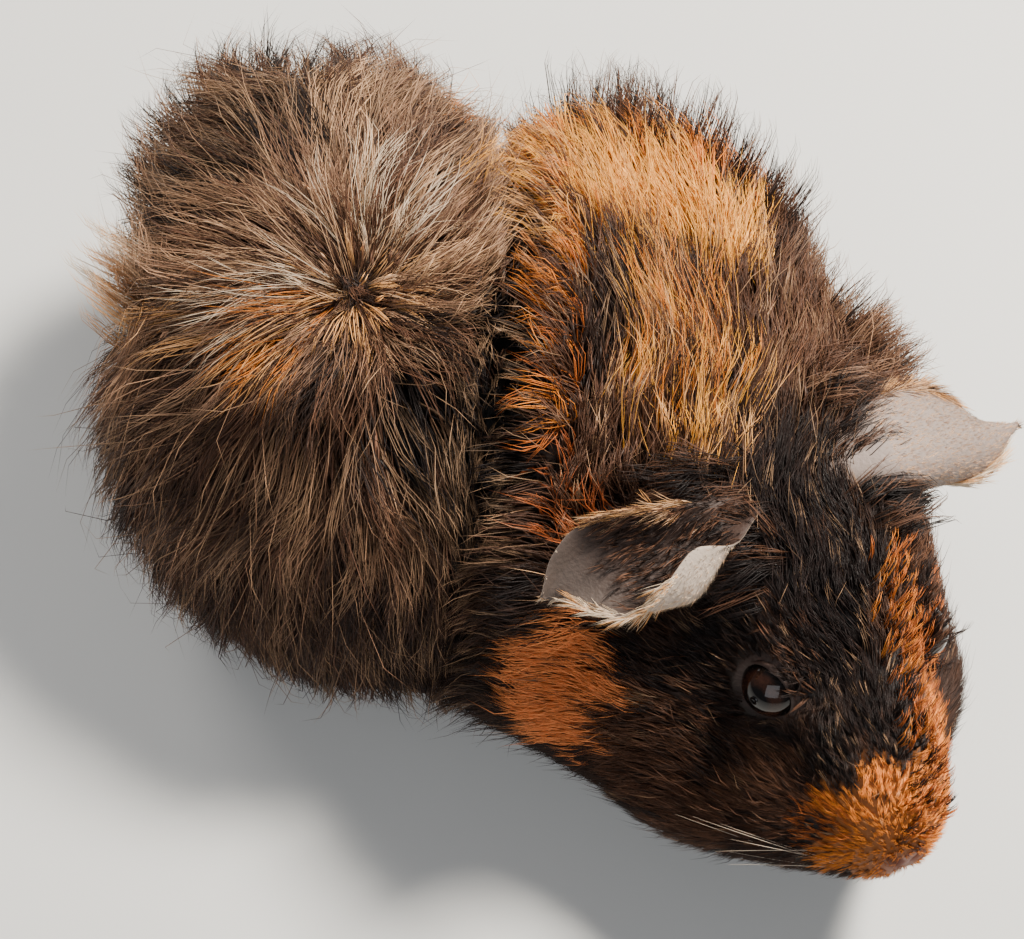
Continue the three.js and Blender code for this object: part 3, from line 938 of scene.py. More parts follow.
def fanned(paths, up, hairs, spread, gather, splay, bend):
    """Splits each path into hairs that are spread mm apart at the root and draw together at the tip."""
    count, rows = paths.shape[:2]
    share = np.linspace(0, 1, rows)[None, None, :, None]
    side = unit(np.cross(paths[:, 1] - paths[:, 0], up))
    ahead = unit(np.cross(up, side))
    off = rng.uniform(-1, 1, (count, hairs, 2)) * spread[:, None, None]
    start = off[..., :1] * side[:, None] + off[..., 1:] * ahead[:, None]
    sideways = rng.normal(0, 1, (count, hairs, 1)) * side[:, None]
    upright = 0.45 * rng.normal(0, 1, (count, hairs, 1)) * up[:, None]
    sway = sideways + upright
    curl = rng.normal(0, 1, (count, hairs, 1)) * side[:, None]
    hair = paths[:, None] + start[:, :, None] * (1 - gather * share**1.2)
    hair = hair + sway[:, :, None] * splay[:, None, None, None] * share**1.8
    hair = hair + curl[:, :, None] * bend[:, None, None, None] * np.sin(np.pi * share)
    shorter = rng.uniform(0.78, 1.0, (count, hairs, 1, 1))
    hair = hair[:, :, :1] + (hair - hair[:, :, :1]) * shorter
    hair[..., 2] = np.maximum(hair[..., 2], 0.25)
    return hair.reshape(count * hairs, rows, 3)


# %% Closed hairs from their paths
PATCH = 0.003  # how wide one hair is on the unwrap
TAPER = {1: [1.0], 2: [1.0, 0.75], 3: [0.9, 1.0, 0.62], 4: [0.9, 1.0, 0.85, 0.55]}


def hair_mesh(name, hair, up, uv, thick, root_colour, tip_colour):
    """Three-sided hairs, closed at the root and drawn to a point, with a colour for each ring."""
    count, rows = hair.shape[:2]
    rings = rows - 1
    along = unit(np.diff(hair, axis=1))
    along = np.concatenate([along[:, :1], unit(along[:, 1:] + along[:, :-1])], 1)[:, :rings]
    side = unit(np.cross(along, up[:, None]))
    over = unit(np.cross(side, along))
    angles = np.radians([210, 90, 330])
    width = (np.array(TAPER[rings])[None, :] * thick[:, None] / 2)[..., None, None]
    ring = np.cos(angles)[:, None] * side[:, :, None] + np.sin(angles)[:, None] * 0.7 * over[:, :, None]
    body_points = (hair[:, :-1, None] + width * ring).reshape(count, rings * 3, 3)
    points = np.concatenate([body_points, hair[:, -1:]], 1).reshape(-1, 3)
    step = [[0, 1, 2]]
    for r in range(rings - 1):
        for a, b in ((0, 1), (1, 2), (2, 0)):
            step += [[3 * r + a, 3 * r + 3 + a, 3 * r + b], [3 * r + b, 3 * r + 3 + a, 3 * r + 3 + b]]
    last = 3 * (rings - 1)
    step += [[last + a, 3 * rings, last + b] for a, b in ((0, 1), (1, 2), (2, 0))]
    faces = (np.array(step)[None] + (np.arange(count) * (3 * rings + 1))[:, None, None]).reshape(-1, 3)
    mesh = mesh_of(name, points, faces)
    share = np.append(np.repeat(np.linspace(0, 1, rings + 1)[:-1], 3), 1)
    offset = np.column_stack([np.append(np.tile([-0.5, 0.0, 0.5], rings), 0), share * 0.9 - 0.4])
    offset[0:rings * 3:3, 1] -= 0.05
    offset[2:rings * 3:3, 1] -= 0.05
    spot = (uv[:, None] + offset * PATCH).reshape(-1, 2)
    layer = mesh.uv_layers.new(name="OFBake")
    layer.data.foreach_set("uv", spot[faces.ravel()].ravel())
    blend = (share**1.3)[None, :, None]
    paint(mesh, "coat", mix(root_colour[:, None], tip_colour[:, None], blend).reshape(-1, 3))
    return mesh


# %% [markdown]
# ## The coat in layers
# Several layers make the coat: a dense short one, the locks that carry the colours, single long guard hairs
# that catch the light, and the fringe of curled hair that leans over the furrow. Each layer says how dense
# it is, how long, how high its tips come, and how far its hairs stray.

# %% Layers of the coat
class Hairs:
    """Hairs with all that their mesh needs, one row for each hair."""

    FIELDS = ("path", "up", "uv", "thick", "root", "tip")

    def __init__(self, *values):
        for field, value in zip(self.FIELDS, values):
            setattr(self, field, value)

    def part(self, rows):
        return Hairs(*(getattr(self, field)[rows] for field in self.FIELDS))


BRIGHTEST = 0.95  # the share of the light that the palest hair gives back


def dimmed(shades):
    """Shades with the same hue, none of them brighter than the palest hair."""
    return shades * np.minimum(1, BRIGHTEST / shades.max(1, keepdims=True))


def bunched(paths, up, uv, hairs, thick, shade, tip, spread, gather=0.7, splay=None, bend=None, root=0.5):
    """Hairs from lock paths. Colours and places are given by lock, and each hair varies a little, with
    painted glints on a few hairs and painted shade at the roots.
    """
    length = np.linalg.norm(paths[:, -1] - paths[:, 0], axis=1)
    splay = 0.06 * length if splay is None else splay
    bend = 0.045 * length if bend is None else bend
    path = fanned(paths, up, hairs, spread, gather, splay, bend)
    # One hair in ten is made brighter, as a painted glint.
    own = rng.uniform(0.65, 1.2, (len(path), 1)) * np.where(rng.uniform(0, 1, (len(path), 1)) < 0.1, 1.6, 1)
    many = [np.repeat(value, hairs, 0) for value in (up, uv, thick, shade, tip)]
    # Roots take a darker share of the lock's colour, as painted shade deep in the coat.
    roots, tips = dimmed(many[3] * own * root), dimmed(many[4] * own)
    return Hairs(path, many[0], many[1], many[2] * rng.uniform(0.7, 1.1, len(path)), roots, tips)


def lengths(points):
    """How far a lock runs, in mm: a few on the face, most over the rump, none past the parting."""
    room = from_skin(points)[0] - from_outline(points)[0]
    length = np.clip(room * 1.9, 1.6, 28)
    before = before_parting(points)
    length = np.minimum(length, np.where(before > 0, np.maximum(before + 2, 5), np.maximum(-before, 4)))
    length = length * mix(0.2, 1.0, ramp(np.linalg.norm(points - ROSETTE, axis=1), 3, 22))
    for whorl in REAR_ROSETTES:
        length = length * mix(0.35, 1.0, ramp(np.linalg.norm(points - whorl, axis=1), 2, 16))
    return length * mix(0.5, 1.0, ramp(np.linalg.norm(points - NOSE, axis=1), 5, 14))


def heights(points):
    """The share of the coat's depth that hair reaches, which is least in the furrow behind the parting. Lock
    colours are darkened by it too, as painted shade in the furrow.
    """
    before = before_parting(points)
    return 1 - 0.5 * ramp(before, -11, -4) * ramp(before, 1.5, -0.5) * ramp(points[:, 2], 20, 45)


def grown(density, hairs, steps, long=1.0, lift=0.85, vary=0.15, stray=0.18, thick=0.4, lighter=1.0,
          pale=1.0):
    """One layer: roots, paths, hairs and their colours. Sizes follow the depth of the coat at the root."""
    roots, normals, uv = skin.scattered(density)
    count = len(roots)
    length = lengths(roots) * long * rng.uniform(0.8, 1.15, count)
    small = ramp(length, 2, 12)
    high = (lift + vary * (0.6 * noise(roots, 5, 12) + rng.uniform(-1, 1, count))) * heights(roots)
    paths = laid(roots, normals, length, high, stray, steps)
    seen = paths[:, -1] * 0.75 + paths[:, 0] * 0.25
    chance = np.mod(0.5 + 0.35 * noise(seen, 2.5, 8) + rng.uniform(-0.45, 0.45, count), 1)
    shade = marked(seen, chance) * rng.uniform(0.75, 1.2, (count, 1))
    # Locks in the furrow behind the parting are darkened as painted shade.
    shade = shade * lighter * heights(roots)[:, None] ** 1.5
    pale_tip = (rng.uniform(0, 1, count) < paleness(seen) * pale) * rng.uniform(0.2, 1, count)
    # Tips are a fifth brighter than the lock, as painted light on the outside of the coat.
    tip = mix(shade * 1.2, COAT["tan"] * lighter, 0.7 * pale_tip[:, None])
    up = from_skin(roots)[1]
    return bunched(paths, up, uv, hairs, thick * mix(0.65, 1.0, small), shade, tip, mix(0.35, 1.3, small))


trunk = (1 - on_head) * mix(1, 0.2, underneath)
bare = bell(np.abs(in_head(skin.middle)[:, 1]), 4.2) * bell(in_head(skin.middle)[:, 2] + 38, 3.0)
bare = ramp(bare * ramp(in_head(skin.middle)[:, 0], 50, 54), 0.3, 0.6)
on_face = on_head * (1 - on_eye) * mix(1, 0.5, underneath)
on_face = on_face * (1 - bare) * (1 + bell(near_eye(skin.middle) - 7, 3))
muzzle = ramp(in_head(skin.middle)[:, 0], 30, 36)
layers = {
    "under": grown(0.2 * trunk, 2, 2, long=0.75, lift=0.5, stray=0.3, thick=1.0, pale=0.2),
    "locks": grown(0.138 * trunk, 8, 3, lift=0.86, vary=0.2, stray=0.22, thick=0.3),
    "guard": grown(0.2 * trunk, 1, 3, long=1.3, lift=1.1, vary=0.4, stray=0.45, thick=0.2, lighter=1.25,
                   pale=1.6),
    "face": grown(0.62 * on_face * (1 - muzzle), 5, 2, long=1.25, lift=0.72, vary=0.15, stray=0.15,
                  thick=0.3),
    "muzzle": grown(1.5 * on_face * muzzle, 6, 1, long=1.1, lift=0.75, vary=0.2, stray=0.2, thick=0.3),
    "bristle": grown(0.26 * on_face, 1, 2, long=1.3, lift=1.15, vary=0.3, stray=0.4, thick=0.2, lighter=1.2,
                     pale=2.0),
}
print("layers:", {name: len(hairs.path) for name, hairs in layers.items()})

# %% [markdown]
# ## Hair that stands free
# Some hair doesn't keep to the outline: the curled fringe on the crest, wisps at the rear, spikes on the
# bridge of the nose, and the fur of the ears. These are planted along short lines, each with its own way and
# length.

# %% Planting free hair
skin_tree = BVHTree.FromPolygons([v.co / MM for v in body.vertices], [f.vertices for f in body.polygons])


def on_skin(wanted):
    """The nearest faces of the skin: their middles, normals and spots on the unwrap."""
    face = np.array([skin_tree.find_nearest(Vector(place))[2] for place in wanted])
    return skin.middle[face], skin.normal[face], skin.uv[face].mean(1)


def strewn(count, start, end, width):
    """Places strewn along a line on the skin, with normals and spots on the unwrap."""
    share = rng.uniform(0, 1, count)[:, None]
    return on_skin(mix(np.array(start, float), np.array(end, float), share)
                   + rng.normal(0, width, (count, 3)))


def free(roots, up, way, length, rise, droop=0.0, steps=3):
    """Paths that leave the surface: up by rise mm, then over, and down by droop mm, past any outline."""
    path = [roots - 0.3 * up]
    for step in range(1, steps + 1):
        share = step / steps
        lifted = rise * (1 - (1 - share) ** 2) - droop * share**3
        path.append(roots + way * (length * share)[:, None] + up * np.reshape(lifted, (-1, 1)))
    return np.stack(path, 1)


def planted(places, way, length, rise, hairs, thick, names, droop=0.0, steps=3, spread=0.5, stray=0.25,
            **more):
    """Free locks at given places. names holds the colours that mix there."""
    roots, up, uv = places
    count = len(roots)
    way = unit(np.broadcast_to(way, (count, 3)) + stray * rng.normal(0, 1, (count, 3)))
    way = unit(way - up * (way * up).sum(1)[:, None])
    long = length * rng.uniform(0.75, 1.2, count)
    high = rise * rng.uniform(0.7, 1.2, count)
    shade = np.array([COAT[name] for name in names])[rng.integers(0, len(names), count)]
    paths = free(roots, up, way, long, high, droop, steps)
    # Tips are painted a little brighter than the lock, as painted light, and roots darker, as painted shade.
    return bunched(paths, up, uv, hairs, np.full(count, thick), shade, shade * 1.15, np.full(count, spread),
                   **more)


# %% Fringe, wisps and spikes
def room_at(places):
    return from_skin(places[0])[0] - from_outline(places[0])[0]


def crest(count, start, end, names, hairs=5):
    """Curled locks along the crest that lean back over the furrow."""
    places = strewn(count, start, end, 1.2)
    rise = room_at(places) * 1.1
    return planted(places, [-1, 0.05, 0], 12, rise, hairs, 0.26, names, droop=5.0, spread=0.9, stray=0.4,
                   bend=rng.uniform(0.4, 1.6, count))


layers["fringe_top"] = crest(150, [4, 2, 78], [-14, 36, 72], ["amber", "orange", "gold"])
layers["fringe_low"] = crest(85, [4, 2, 78], [11, -18, 72], ["rust", "orange", "brown", "brown"])
layers["wisp_rear"] = planted(strewn(60, [-82, -18, 60], [-82, -30, 56], 3), [-0.2, 0.4, 0.6], 8, 19, 7, 0.22,
                              ["cream", "tan", "gold"], spread=1.6, stray=0.18)
layers["wisp_dark"] = planted(strewn(110, [-86, -10, 58], [-80, 26, 60], 3), [-0.2, 0.6, 0.5], 9, 14, 6, 0.22,
                              ["black", "dark", "brown", "fawn"], spread=1.4, stray=0.3)
print("free hair so far:", [name for name in layers if name.startswith(("fringe", "wisp"))])

# %% The heart of the rosette
# The hair stands there and falls outward.
crown = strewn(70, ROSETTE - [1, 0, 6], ROSETTE - [-1, 0, 6], 3.4)
outward = unit((crown[0] - ROSETTE) * [1, 1, 0] + rng.normal(0, 0.3, crown[0].shape))
layers["crown_ring"] = planted(crown, outward, 11, room_at(crown) * 1.05, 6, 0.24,
                               ["brown", "gold", "tan", "fawn"], droop=2.0, spread=0.8)
heart = strewn(45, ROSETTE, ROSETTE, 1.6)
layers["crown_heart"] = planted(heart, [0, 0, 0], 5, 0.9, 6, 0.22, ["brown", "dark", "dark"], spread=0.8,
                                stray=1.0)
layers["wisp_far"] = planted(strewn(170, [-84, 24, 60], [-46, 48, 58], 4), [-0.5, 0.8, 0.3], 16, 13, 6, 0.22,
                             ["brown", "fawn", "dark", "black"], spread=1.6, stray=0.3)
print("hairs in the heart:", len(layers["crown_ring"].path) + len(layers["crown_heart"].path))

# %% Fuzz past the far shoulder and a streak behind the near ear
# Dark fuzz past the far shoulder, and a soft brown tuft behind the far ear.
for name, count, start, end, way, names in (
    ("back", 150, [-20, 46, 66], [30, 44, 66], [-0.3, 0.9, 0.3], ["black", "dark", "brown"]),
    ("nape", 170, [44, 34, 62], [62, 20, 60], [0.4, 0.8, 0.3], ["brown", "brown", "fawn", "dark"]),
):
    places = strewn(count, start, end, 4)
    layers[f"wisp_{name}"] = planted(places, way, 7, room_at(places) + 5, 6, 0.2, names, spread=1.5,
                                     stray=0.3)
# Fine strands in a streak that curves up from behind the near ear to the far shoulder.
STREAK = 190
roots, up, uv = strewn(STREAK, [34, -13, 75], [24, 3, 82], 4.2)
paths = laid(roots, up, rng.uniform(14, 24, STREAK), rng.uniform(0.92, 1.12, STREAK), 0.2, 4)
names = ["amber", "gold", "orange", "brown", "brown", "dark"]
shade = np.array([COAT[name] for name in names])[rng.integers(0, 6, STREAK)]
# Tips are a tenth brighter and roots darker, as painted light and painted shade.
layers["streak"] = bunched(paths, up, uv, 5, np.full(STREAK, 0.2), shade, shade * 1.1, np.full(STREAK, 1.0),
                           gather=0.2, splay=rng.uniform(0.6, 2.4, STREAK),
                           bend=rng.uniform(0.3, 1.2, STREAK))
print("streak hairs:", len(layers["streak"].path))

# %% Rays of the rosette
# Long fine strands that run out from the heart of the rosette, pale towards the rear and the far side.
SECTORS = {60: ["tan", "brown", "fawn"], 125: ["cream", "tan", "brown"], 190: ["tan", "fawn", "brown"],
           222: ["cream", "tan", "brown"], 262: ["orange", "gold", "brown"], 361: ["brown", "fawn", "dark"]}
RAYS = 330
turn = rng.uniform(0, 2 * np.pi, RAYS)
reach = rng.uniform(1, 15, RAYS)[:, None]
wanted = ROSETTE + np.column_stack([np.cos(turn), np.sin(turn), np.zeros(RAYS)]) * reach
roots, up, uv = on_skin(wanted)
paths = laid(roots, up, rng.uniform(14, 27, RAYS), rng.uniform(0.9, 1.15, RAYS), 0.25, 4)
sector = np.digitize(np.degrees(turn), list(SECTORS))
shade = np.array([COAT[list(SECTORS.values())[k][rng.integers(0, 3)]] for k in sector])
# Tips are a tenth brighter and roots darker, as painted light and painted shade.
layers["rays"] = bunched(paths, up, uv, 5, np.full(RAYS, 0.2), shade, shade * 1.1, np.full(RAYS, 1.0),
                         gather=0.2,
                         splay=rng.uniform(0.8, 3.2, RAYS), bend=rng.uniform(0.4, 1.6, RAYS), root=0.4)
print("ray hairs:", len(layers["rays"].path))

# %% Brows and the bridge of the nose
# The brow over each eye, and the bridge of the nose down to the muzzle, in the head's directions.
for side, out, rise in (("left", 1, 5.5), ("right", -1, 2.2)):
    brow = strewn(130, from_head([13, 12.5 * out, -8]), from_head([31, 12 * out, -14]), 1.6)
    way = from_head([-0.8, 0.5 * out, 0.5]) - from_head([0, 0, 0])
    layers[f"bridge_brow_{side}"] = planted(brow, way, 5, rise, 4, 0.22, ["black", "dark", "brown"],
                                            stray=0.35)
BRIDGE = [from_head(place) for place in ([20, 8, -4], [34, 6, -14], [46, 3, -22], [54, 1, -32])]
for number, (start, end) in enumerate(zip(BRIDGE[:-1], BRIDGE[1:])):
    layers[f"bridge_{number}"] = planted(strewn(120, start, end, 2.6),
                                         from_head([-1, 0.5, 0.6]) - from_head([0, 0, 0]),
                                         5.0 - number, 5.0 - 1.2 * number, 4, 0.22,
                                         ["rust", "rust", "orange", "dark", "black"], spread=0.6, stray=0.4)
print("brows and bridge:", [name for name in layers if name.startswith("bridge")])

# %% Fur of the ears
EAR_BACK = {"left": colour(140, 124, 116), "right": colour(172, 154, 139)}
EAR_FUZZ = {"left": ["fawn", "tan", "tan", "grey"], "right": ["tan", "cream", "cream"]}
EAR_BOWL = colour(54, 38, 31)
EAR_LOBE = colour(78, 67, 61)
ear_meshes = {}
for side, (points, faces, where) in ears.items():
    mesh = ear_meshes[side] = mesh_of(f"ear_skin_{side}", points, faces)
    back = ramp(where[:, 2] * (1 if side == "left" else -1), -0.1, 0.1)[:, None]
    bowl = mix(EAR_BOWL, EAR_LOBE, ramp(where[:, 1], 0.55, 0.9)[:, None])
    paint(mesh, "coat", mix(bowl, EAR_BACK[side], back) * 0.85)
    unwrapped(mesh)
    surface = Surface(mesh, where)
    across, along, above = surface.values.mean(1).T
    out = ramp(along, -0.1, 0.05)
    on_back = ramp(above * (1 if side == "left" else -1), -0.1, 0.1)
    for kind, density, length, rise, thick, names, steps in (
        ("fuzz", 4.2 * out * ramp(above * (1 if side == "left" else -1), 0.3, 0.5), 2.0, 0.35, 0.13,
         EAR_FUZZ[side], 1),
        ("bowl", 1.2 * out * (1 - on_back) * ramp(along, 0.75, 0.35), 5.0, 1.6, 0.2,
         ["dark", "brown", "black"], 2),
    ):
        *places, spots = surface.scattered(density)
        on, _ = on_ear(spots[:, 0], spots[:, 1] + 0.03, side, spots[:, 2])
        here, _ = on_ear(spots[:, 0], spots[:, 1], side, spots[:, 2])
        layers[f"ear_{side}_{kind}"] = planted(places, unit(on - here), length, rise, 2, thick, names,
                                               steps=steps,
                                               spread=0.2, stray=0.2, root=0.85)
    # The front margin and the rear edge carry longer pale hair.
    ear_tree = BVHTree.FromPolygons(points.tolist(), faces.tolist())
    for kind, start, count, first, last, names in (
        ("front", 0.95, 110, 0.45, 0.95, ["cream", "cream", "gold"]),
        ("rear", -0.95, 120, 0.1, 0.6, ["gold", "tan", "brown"]),
    ):
        lengthwise = rng.uniform(first, last, count)
        here, up = on_ear(np.full(count, start), lengthwise, side, np.zeros(count))
        on, _ = on_ear(np.full(count, start), lengthwise + 0.03, side, np.zeros(count))
        face = np.array([ear_tree.find_nearest(Vector(place))[2] for place in here])
        places = (here, up, surface.uv[face].mean(1))
        layers[f"ear_{side}_{kind}"] = planted(places, unit(on - here), 7.0, 0.8, 3, 0.17, names, spread=0.4)
    # Head hair that covers the root of the ear.
    way = from_head([-0.2, 1 if side == "left" else -1, 0]) - from_head([0, 0, 0])
    out = 1 if side == "left" else -1
    root = strewn(400 if side == "left" else 340, from_head([-9, 12 * out, -3]),
                  from_head([10, 12 * out, -4]), 2.5)
    rise = room_at(root) + (5.0 if side == "left" else 4.5)
    layers[f"ear_{side}_root"] = planted(root, way, 12.5, rise, 6, 0.2, ["black", "black", "dark", "brown"],
                                         droop=3.0, spread=0.9)
# Brown hair that lies over the rear of the far ear's root.
nape = strewn(150, from_head([-20, 12, -6]), from_head([-8, 17, -6]), 3)
way = from_head([0.4, 1, 0]) - from_head([0, 0, 0])
layers["ear_left_nape"] = planted(nape, way, 10, room_at(nape) + 4, 6, 0.2,
                                  ["brown", "brown", "fawn", "dark"],
                                  droop=2.0, spread=1.0)

for name, hairs in layers.items():
    long = np.linalg.norm(hairs.path[:, -1] - hairs.path[:, 0], axis=1).mean()
    print(name, "hairs:", len(hairs.path), "mean length in mm:", long.round(1))

# %% Feet, with short fur towards the toes
FOOT_SKIN = colour(64, 44, 38)
feet_mesh = melted(FEET, grow=0.0, voxel=0.7)
move_to(feet_mesh, np.maximum(smoothed(points_of(feet_mesh), edges_of(feet_mesh), 3), [-200, -200, 0.02]))
bm = bmesh.new()
bm.from_mesh(feet_mesh)
bmesh.ops.triangulate(bm, faces=bm.faces)
bm.to_mesh(feet_mesh)
bm.free()
paint(feet_mesh, "coat", np.tile(FOOT_SKIN, (len(feet_mesh.vertices), 1)))
unwrapped(feet_mesh)
surface = Surface(feet_mesh)
furred = ramp(surface.normal[:, 2], -0.2, 0.3) * ramp(surface.middle[:, 2], 1, 2)
toes = unit(np.array([1.0, -0.25, -0.25]))
layers["foot_top"] = planted(surface.scattered(1.2 * furred), toes, 2.6, 0.6, 2, 0.2,
                             ["dark", "black", "brown"],
                             steps=1, spread=0.2, stray=0.15)
print("foot hairs:", len(layers["foot_top"].path))

# %% Pieces of the coat
MOST_TRIANGLES, MOST_IN_COAT = 190000, 1490000


def each_hair(hairs):
    """The triangles of one hair: three sides per step, and a pointed tip."""
    return 6 * (hairs.path.shape[1] - 1) - 2


def together(parts):
    """Several layers with the same number of points in a hair, as one."""
    return Hairs(*(np.concatenate([getattr(part, field) for part in parts]) for field in Hairs.FIELDS))


def shared(first_word):
    """Takes the small layers that share a first word out of the list, by their points in a hair."""
    names = [name for name in layers if name.startswith(first_word + "_")]
    small = [layers.pop(name) for name in names]
    for rows in {part.path.shape[1] for part in small}:
        layers[f"{first_word}{rows}"] = together([part for part in small if part.path.shape[1] == rows])


for word in ("fringe", "wisp", "crown", "bridge", "ear_left", "ear_right", "foot"):
    shared(word)
# Hairs of the main layer are left out evenly where the whole coat would be too heavy.
locks = layers["locks"]
too_many = sum(len(hairs.path) * each_hair(hairs) for hairs in layers.values()) - MOST_IN_COAT
staying = len(locks.path) - max(0, too_many) // each_hair(locks)
layers["locks"] = locks.part(np.linspace(0, len(locks.path) - 1, staying).astype(int))
print("hairs left out:", len(locks.path) - staying, "of", len(locks.path))
coat_pieces = []
for name, hairs in layers.items():
    each = each_hair(hairs)
    # Sorted from rear to front, so that each piece is one region.
    order = np.argsort(hairs.path[:, 0, 0])
    for number, rows in enumerate(np.array_split(order, math.ceil(len(order) * each / MOST_TRIANGLES)), 1):
        part = hairs.part(rows)
        mesh = hair_mesh(f"coat_{name}_{number}", part.path, part.up, part.uv, part.thick, part.root,
                         part.tip)
        coat_pieces.append(shown(mesh.name, mesh))
print("coat pieces:", len(coat_pieces), "triangles:", sum(len(piece.data.polygons) for piece in coat_pieces))


# %% [markdown]
# ## Materials
# Hair takes its colour from the points of its mesh, and a fine grain varies it a little. Skin takes the same
# markings, darkened as painted shade in the gaps between the hairs, under a fine grain.

# %% Materials of the animal
def hair_look(start):
    shade = attribute(start, "coat")
    fine = grain(start, 900).between(0.2, 0.8)
    return {"Base Color": start.node("ShaderNodeHueSaturation", Color=shade, Value=fine * 0.3 + 0.85)}


def skin_look(start):
    height = grain(start, 1400, 4)
    return {"Base Color": attribute(start, "coat"), "Normal": bumped(start, height, 0.5, 0.0004)}


def eye_look(start):
    shade = attribute(start, "coat")
    fleck = grain(start, 1500).between(0.3, 0.7)
    return {"Base Color": start.node("ShaderNodeHueSaturation", Color=shade, Value=fleck * 0.4 + 0.8)}


def claw_look(start):
    rough = grain(start, 300).between(0.3, 0.8) * 0.2 + 0.3
    tone = grain(start, 120).tinted((0.16, 0.10, 0.07, 1), (0.36, 0.26, 0.19, 1))
    return {"Base Color": tone, "Roughness": rough}


HAIR = material("hair", 0.5, hair_look, specular=0.22)
SKIN = material("skin", 0.6, skin_look, specular=0.25)
EYE = material("eye", 0.06, eye_look, coat=0.2, specular=0.2)
CLAW = material("claw", 0.4, claw_look)
for piece in coat_pieces:
    piece.data.materials.append(HAIR)
    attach(piece, "root")
print("materials:", [look.name for look in (HAIR, SKIN, EYE, CLAW)])

# %% The skin, with lids and markings
def joined(name, parts):
    """One mesh of several lists of points and triangles."""
    points, faces, start = [], [], 0
    for more, triangles in parts:
        points.append(more)
        faces.append(triangles + start)
        start += len(more)
    return mesh_of(name, np.concatenate(points), np.concatenate(faces))


LID_SKIN, NOSE_SKIN = colour(50, 36, 31), colour(116, 74, 62)
whole_skin = joined("skin", [(points_of(body), triangles_of(body)), lids["left"], lids["right"]])
points = points_of(whole_skin)
# The skin is darkened to a fifth of the coat's colour, as painted shade in the gaps between the hairs.
SKIN_SHADE_SHARE = 0.2  # how bright the skin is beside the hair over it
tone = marked(points, np.full(len(points), 0.5)) * SKIN_SHADE_SHARE
ahead, left, up = in_head(points).T
bare_nose = bell(np.abs(left), 4.5) * bell(up + 38, 3.2) * ramp(ahead, 50, 54)
tone = mix(tone, NOSE_SKIN, bare_nose[:, None])
# The nostril pits are painted near black, as painted shade in the openings.
lean = (np.abs(left) - NOSTRIL_OUT) * 0.8 + (up + NOSTRIL_DOWN) * 0.6
across = (up + NOSTRIL_DOWN) * 0.8 - (np.abs(left) - NOSTRIL_OUT) * 0.6
nostril_shade = bell(lean, 1.6) * bell(across, 0.7) * ramp(ahead, 48, 53)
tone = mix(tone, colour(34, 18, 16), nostril_shade[:, None])
tone = mix(tone, LID_SKIN, ramp(near_eye(points), 7.4, 6.4)[:, None])
paint(whole_skin, "coat", tone)
unwrapped(whole_skin)
skin_piece = shown("skin", whole_skin)
skin_piece.data.materials.append(SKIN)
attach(skin_piece, "root")
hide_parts(*FLESH, *LEGS)
print("skin points:", len(whole_skin.vertices), "faces:", len(whole_skin.polygons))

# %% Feet as a piece
feet = shown("feet", feet_mesh)
feet.data.materials.append(SKIN)
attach(feet, "root")
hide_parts(*FEET)
print("faces of the feet:", len(feet.data.polygons))

# %% Ears as pieces
for side, mesh in ear_meshes.items():
    piece = shown(mesh.name, mesh)
    piece.data.materials.append(SKIN)
    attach(piece, "root")
    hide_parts(f"ear_{side}")
print("ears:", sorted(ear_meshes))

# %% Eyes
EYE_RINGS, EYE_STEPS = 40, 48
CORNEA, SUNK = 0.35, 0.02  # mm that the cornea stands out, and that the ball lies inside its radius
for side, centre in eyes.items():
    gaze, ahead, up = eye_axes(side)
    angle = np.linspace(0, np.pi, EYE_RINGS + 1)[1:-1]
    turn = np.linspace(0, 2 * np.pi, EYE_STEPS, endpoint=False)
    cornea = CORNEA * bell(angle, 0.75)
    out = np.cos(turn)[None, :, None] * ahead + np.sin(turn)[None, :, None] * up
    distance = (EYE_RADIUS - SUNK + cornea)[:, None, None]
    rings = distance * (np.cos(angle)[:, None, None] * gaze + np.sin(angle)[:, None, None] * out)
    front, rear = centre + gaze * (EYE_RADIUS + CORNEA - SUNK), centre - gaze * EYE_RADIUS
    points = np.concatenate([rings.reshape(-1, 3) + centre, front[None], rear[None]])
    step = np.arange(EYE_STEPS)
    beside = np.roll(step, -1)
    last = (EYE_RINGS - 2) * EYE_STEPS
    tip_cap = np.column_stack([step, beside, np.full(EYE_STEPS, len(points) - 2)])[:, ::-1]
    rear_cap = np.column_stack([last + step, last + beside, np.full(EYE_STEPS, len(points) - 1)])
    faces = np.concatenate([strip_faces(EYE_RINGS - 1, EYE_STEPS)[:, ::-1], tip_cap, rear_cap])
    mesh = mesh_of(f"eyeball_{side}", points, faces[:, ::-1] if side == "left" else faces)
    off = unit(points - centre) @ gaze
    iris = ramp(off, 0.55, 0.75) * ramp(off, 0.93, 0.86)
    paint(mesh, "coat", mix(colour(8, 6, 6), colour(36, 20, 14), iris[:, None]))
    piece = shown(mesh.name, mesh)
    piece.data.materials.append(EYE)
    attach(piece, "root")
    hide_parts(f"eye_{side}")
print("eyes:", sorted(eyes))

# %% Claws
for name, piece in nodes.items():
    if name.startswith("claw"):
        piece.data.materials.clear()
        piece.data.materials.append(CLAW)

# %% [markdown]
# ## Whiskers by Geometry Nodes
# A whisker is one curved, tapered hair. A node group puts a copy of it on each point of a small cloud on the
# muzzle, turns it to the way that the point keeps, gives it its own length and makes the copies real.

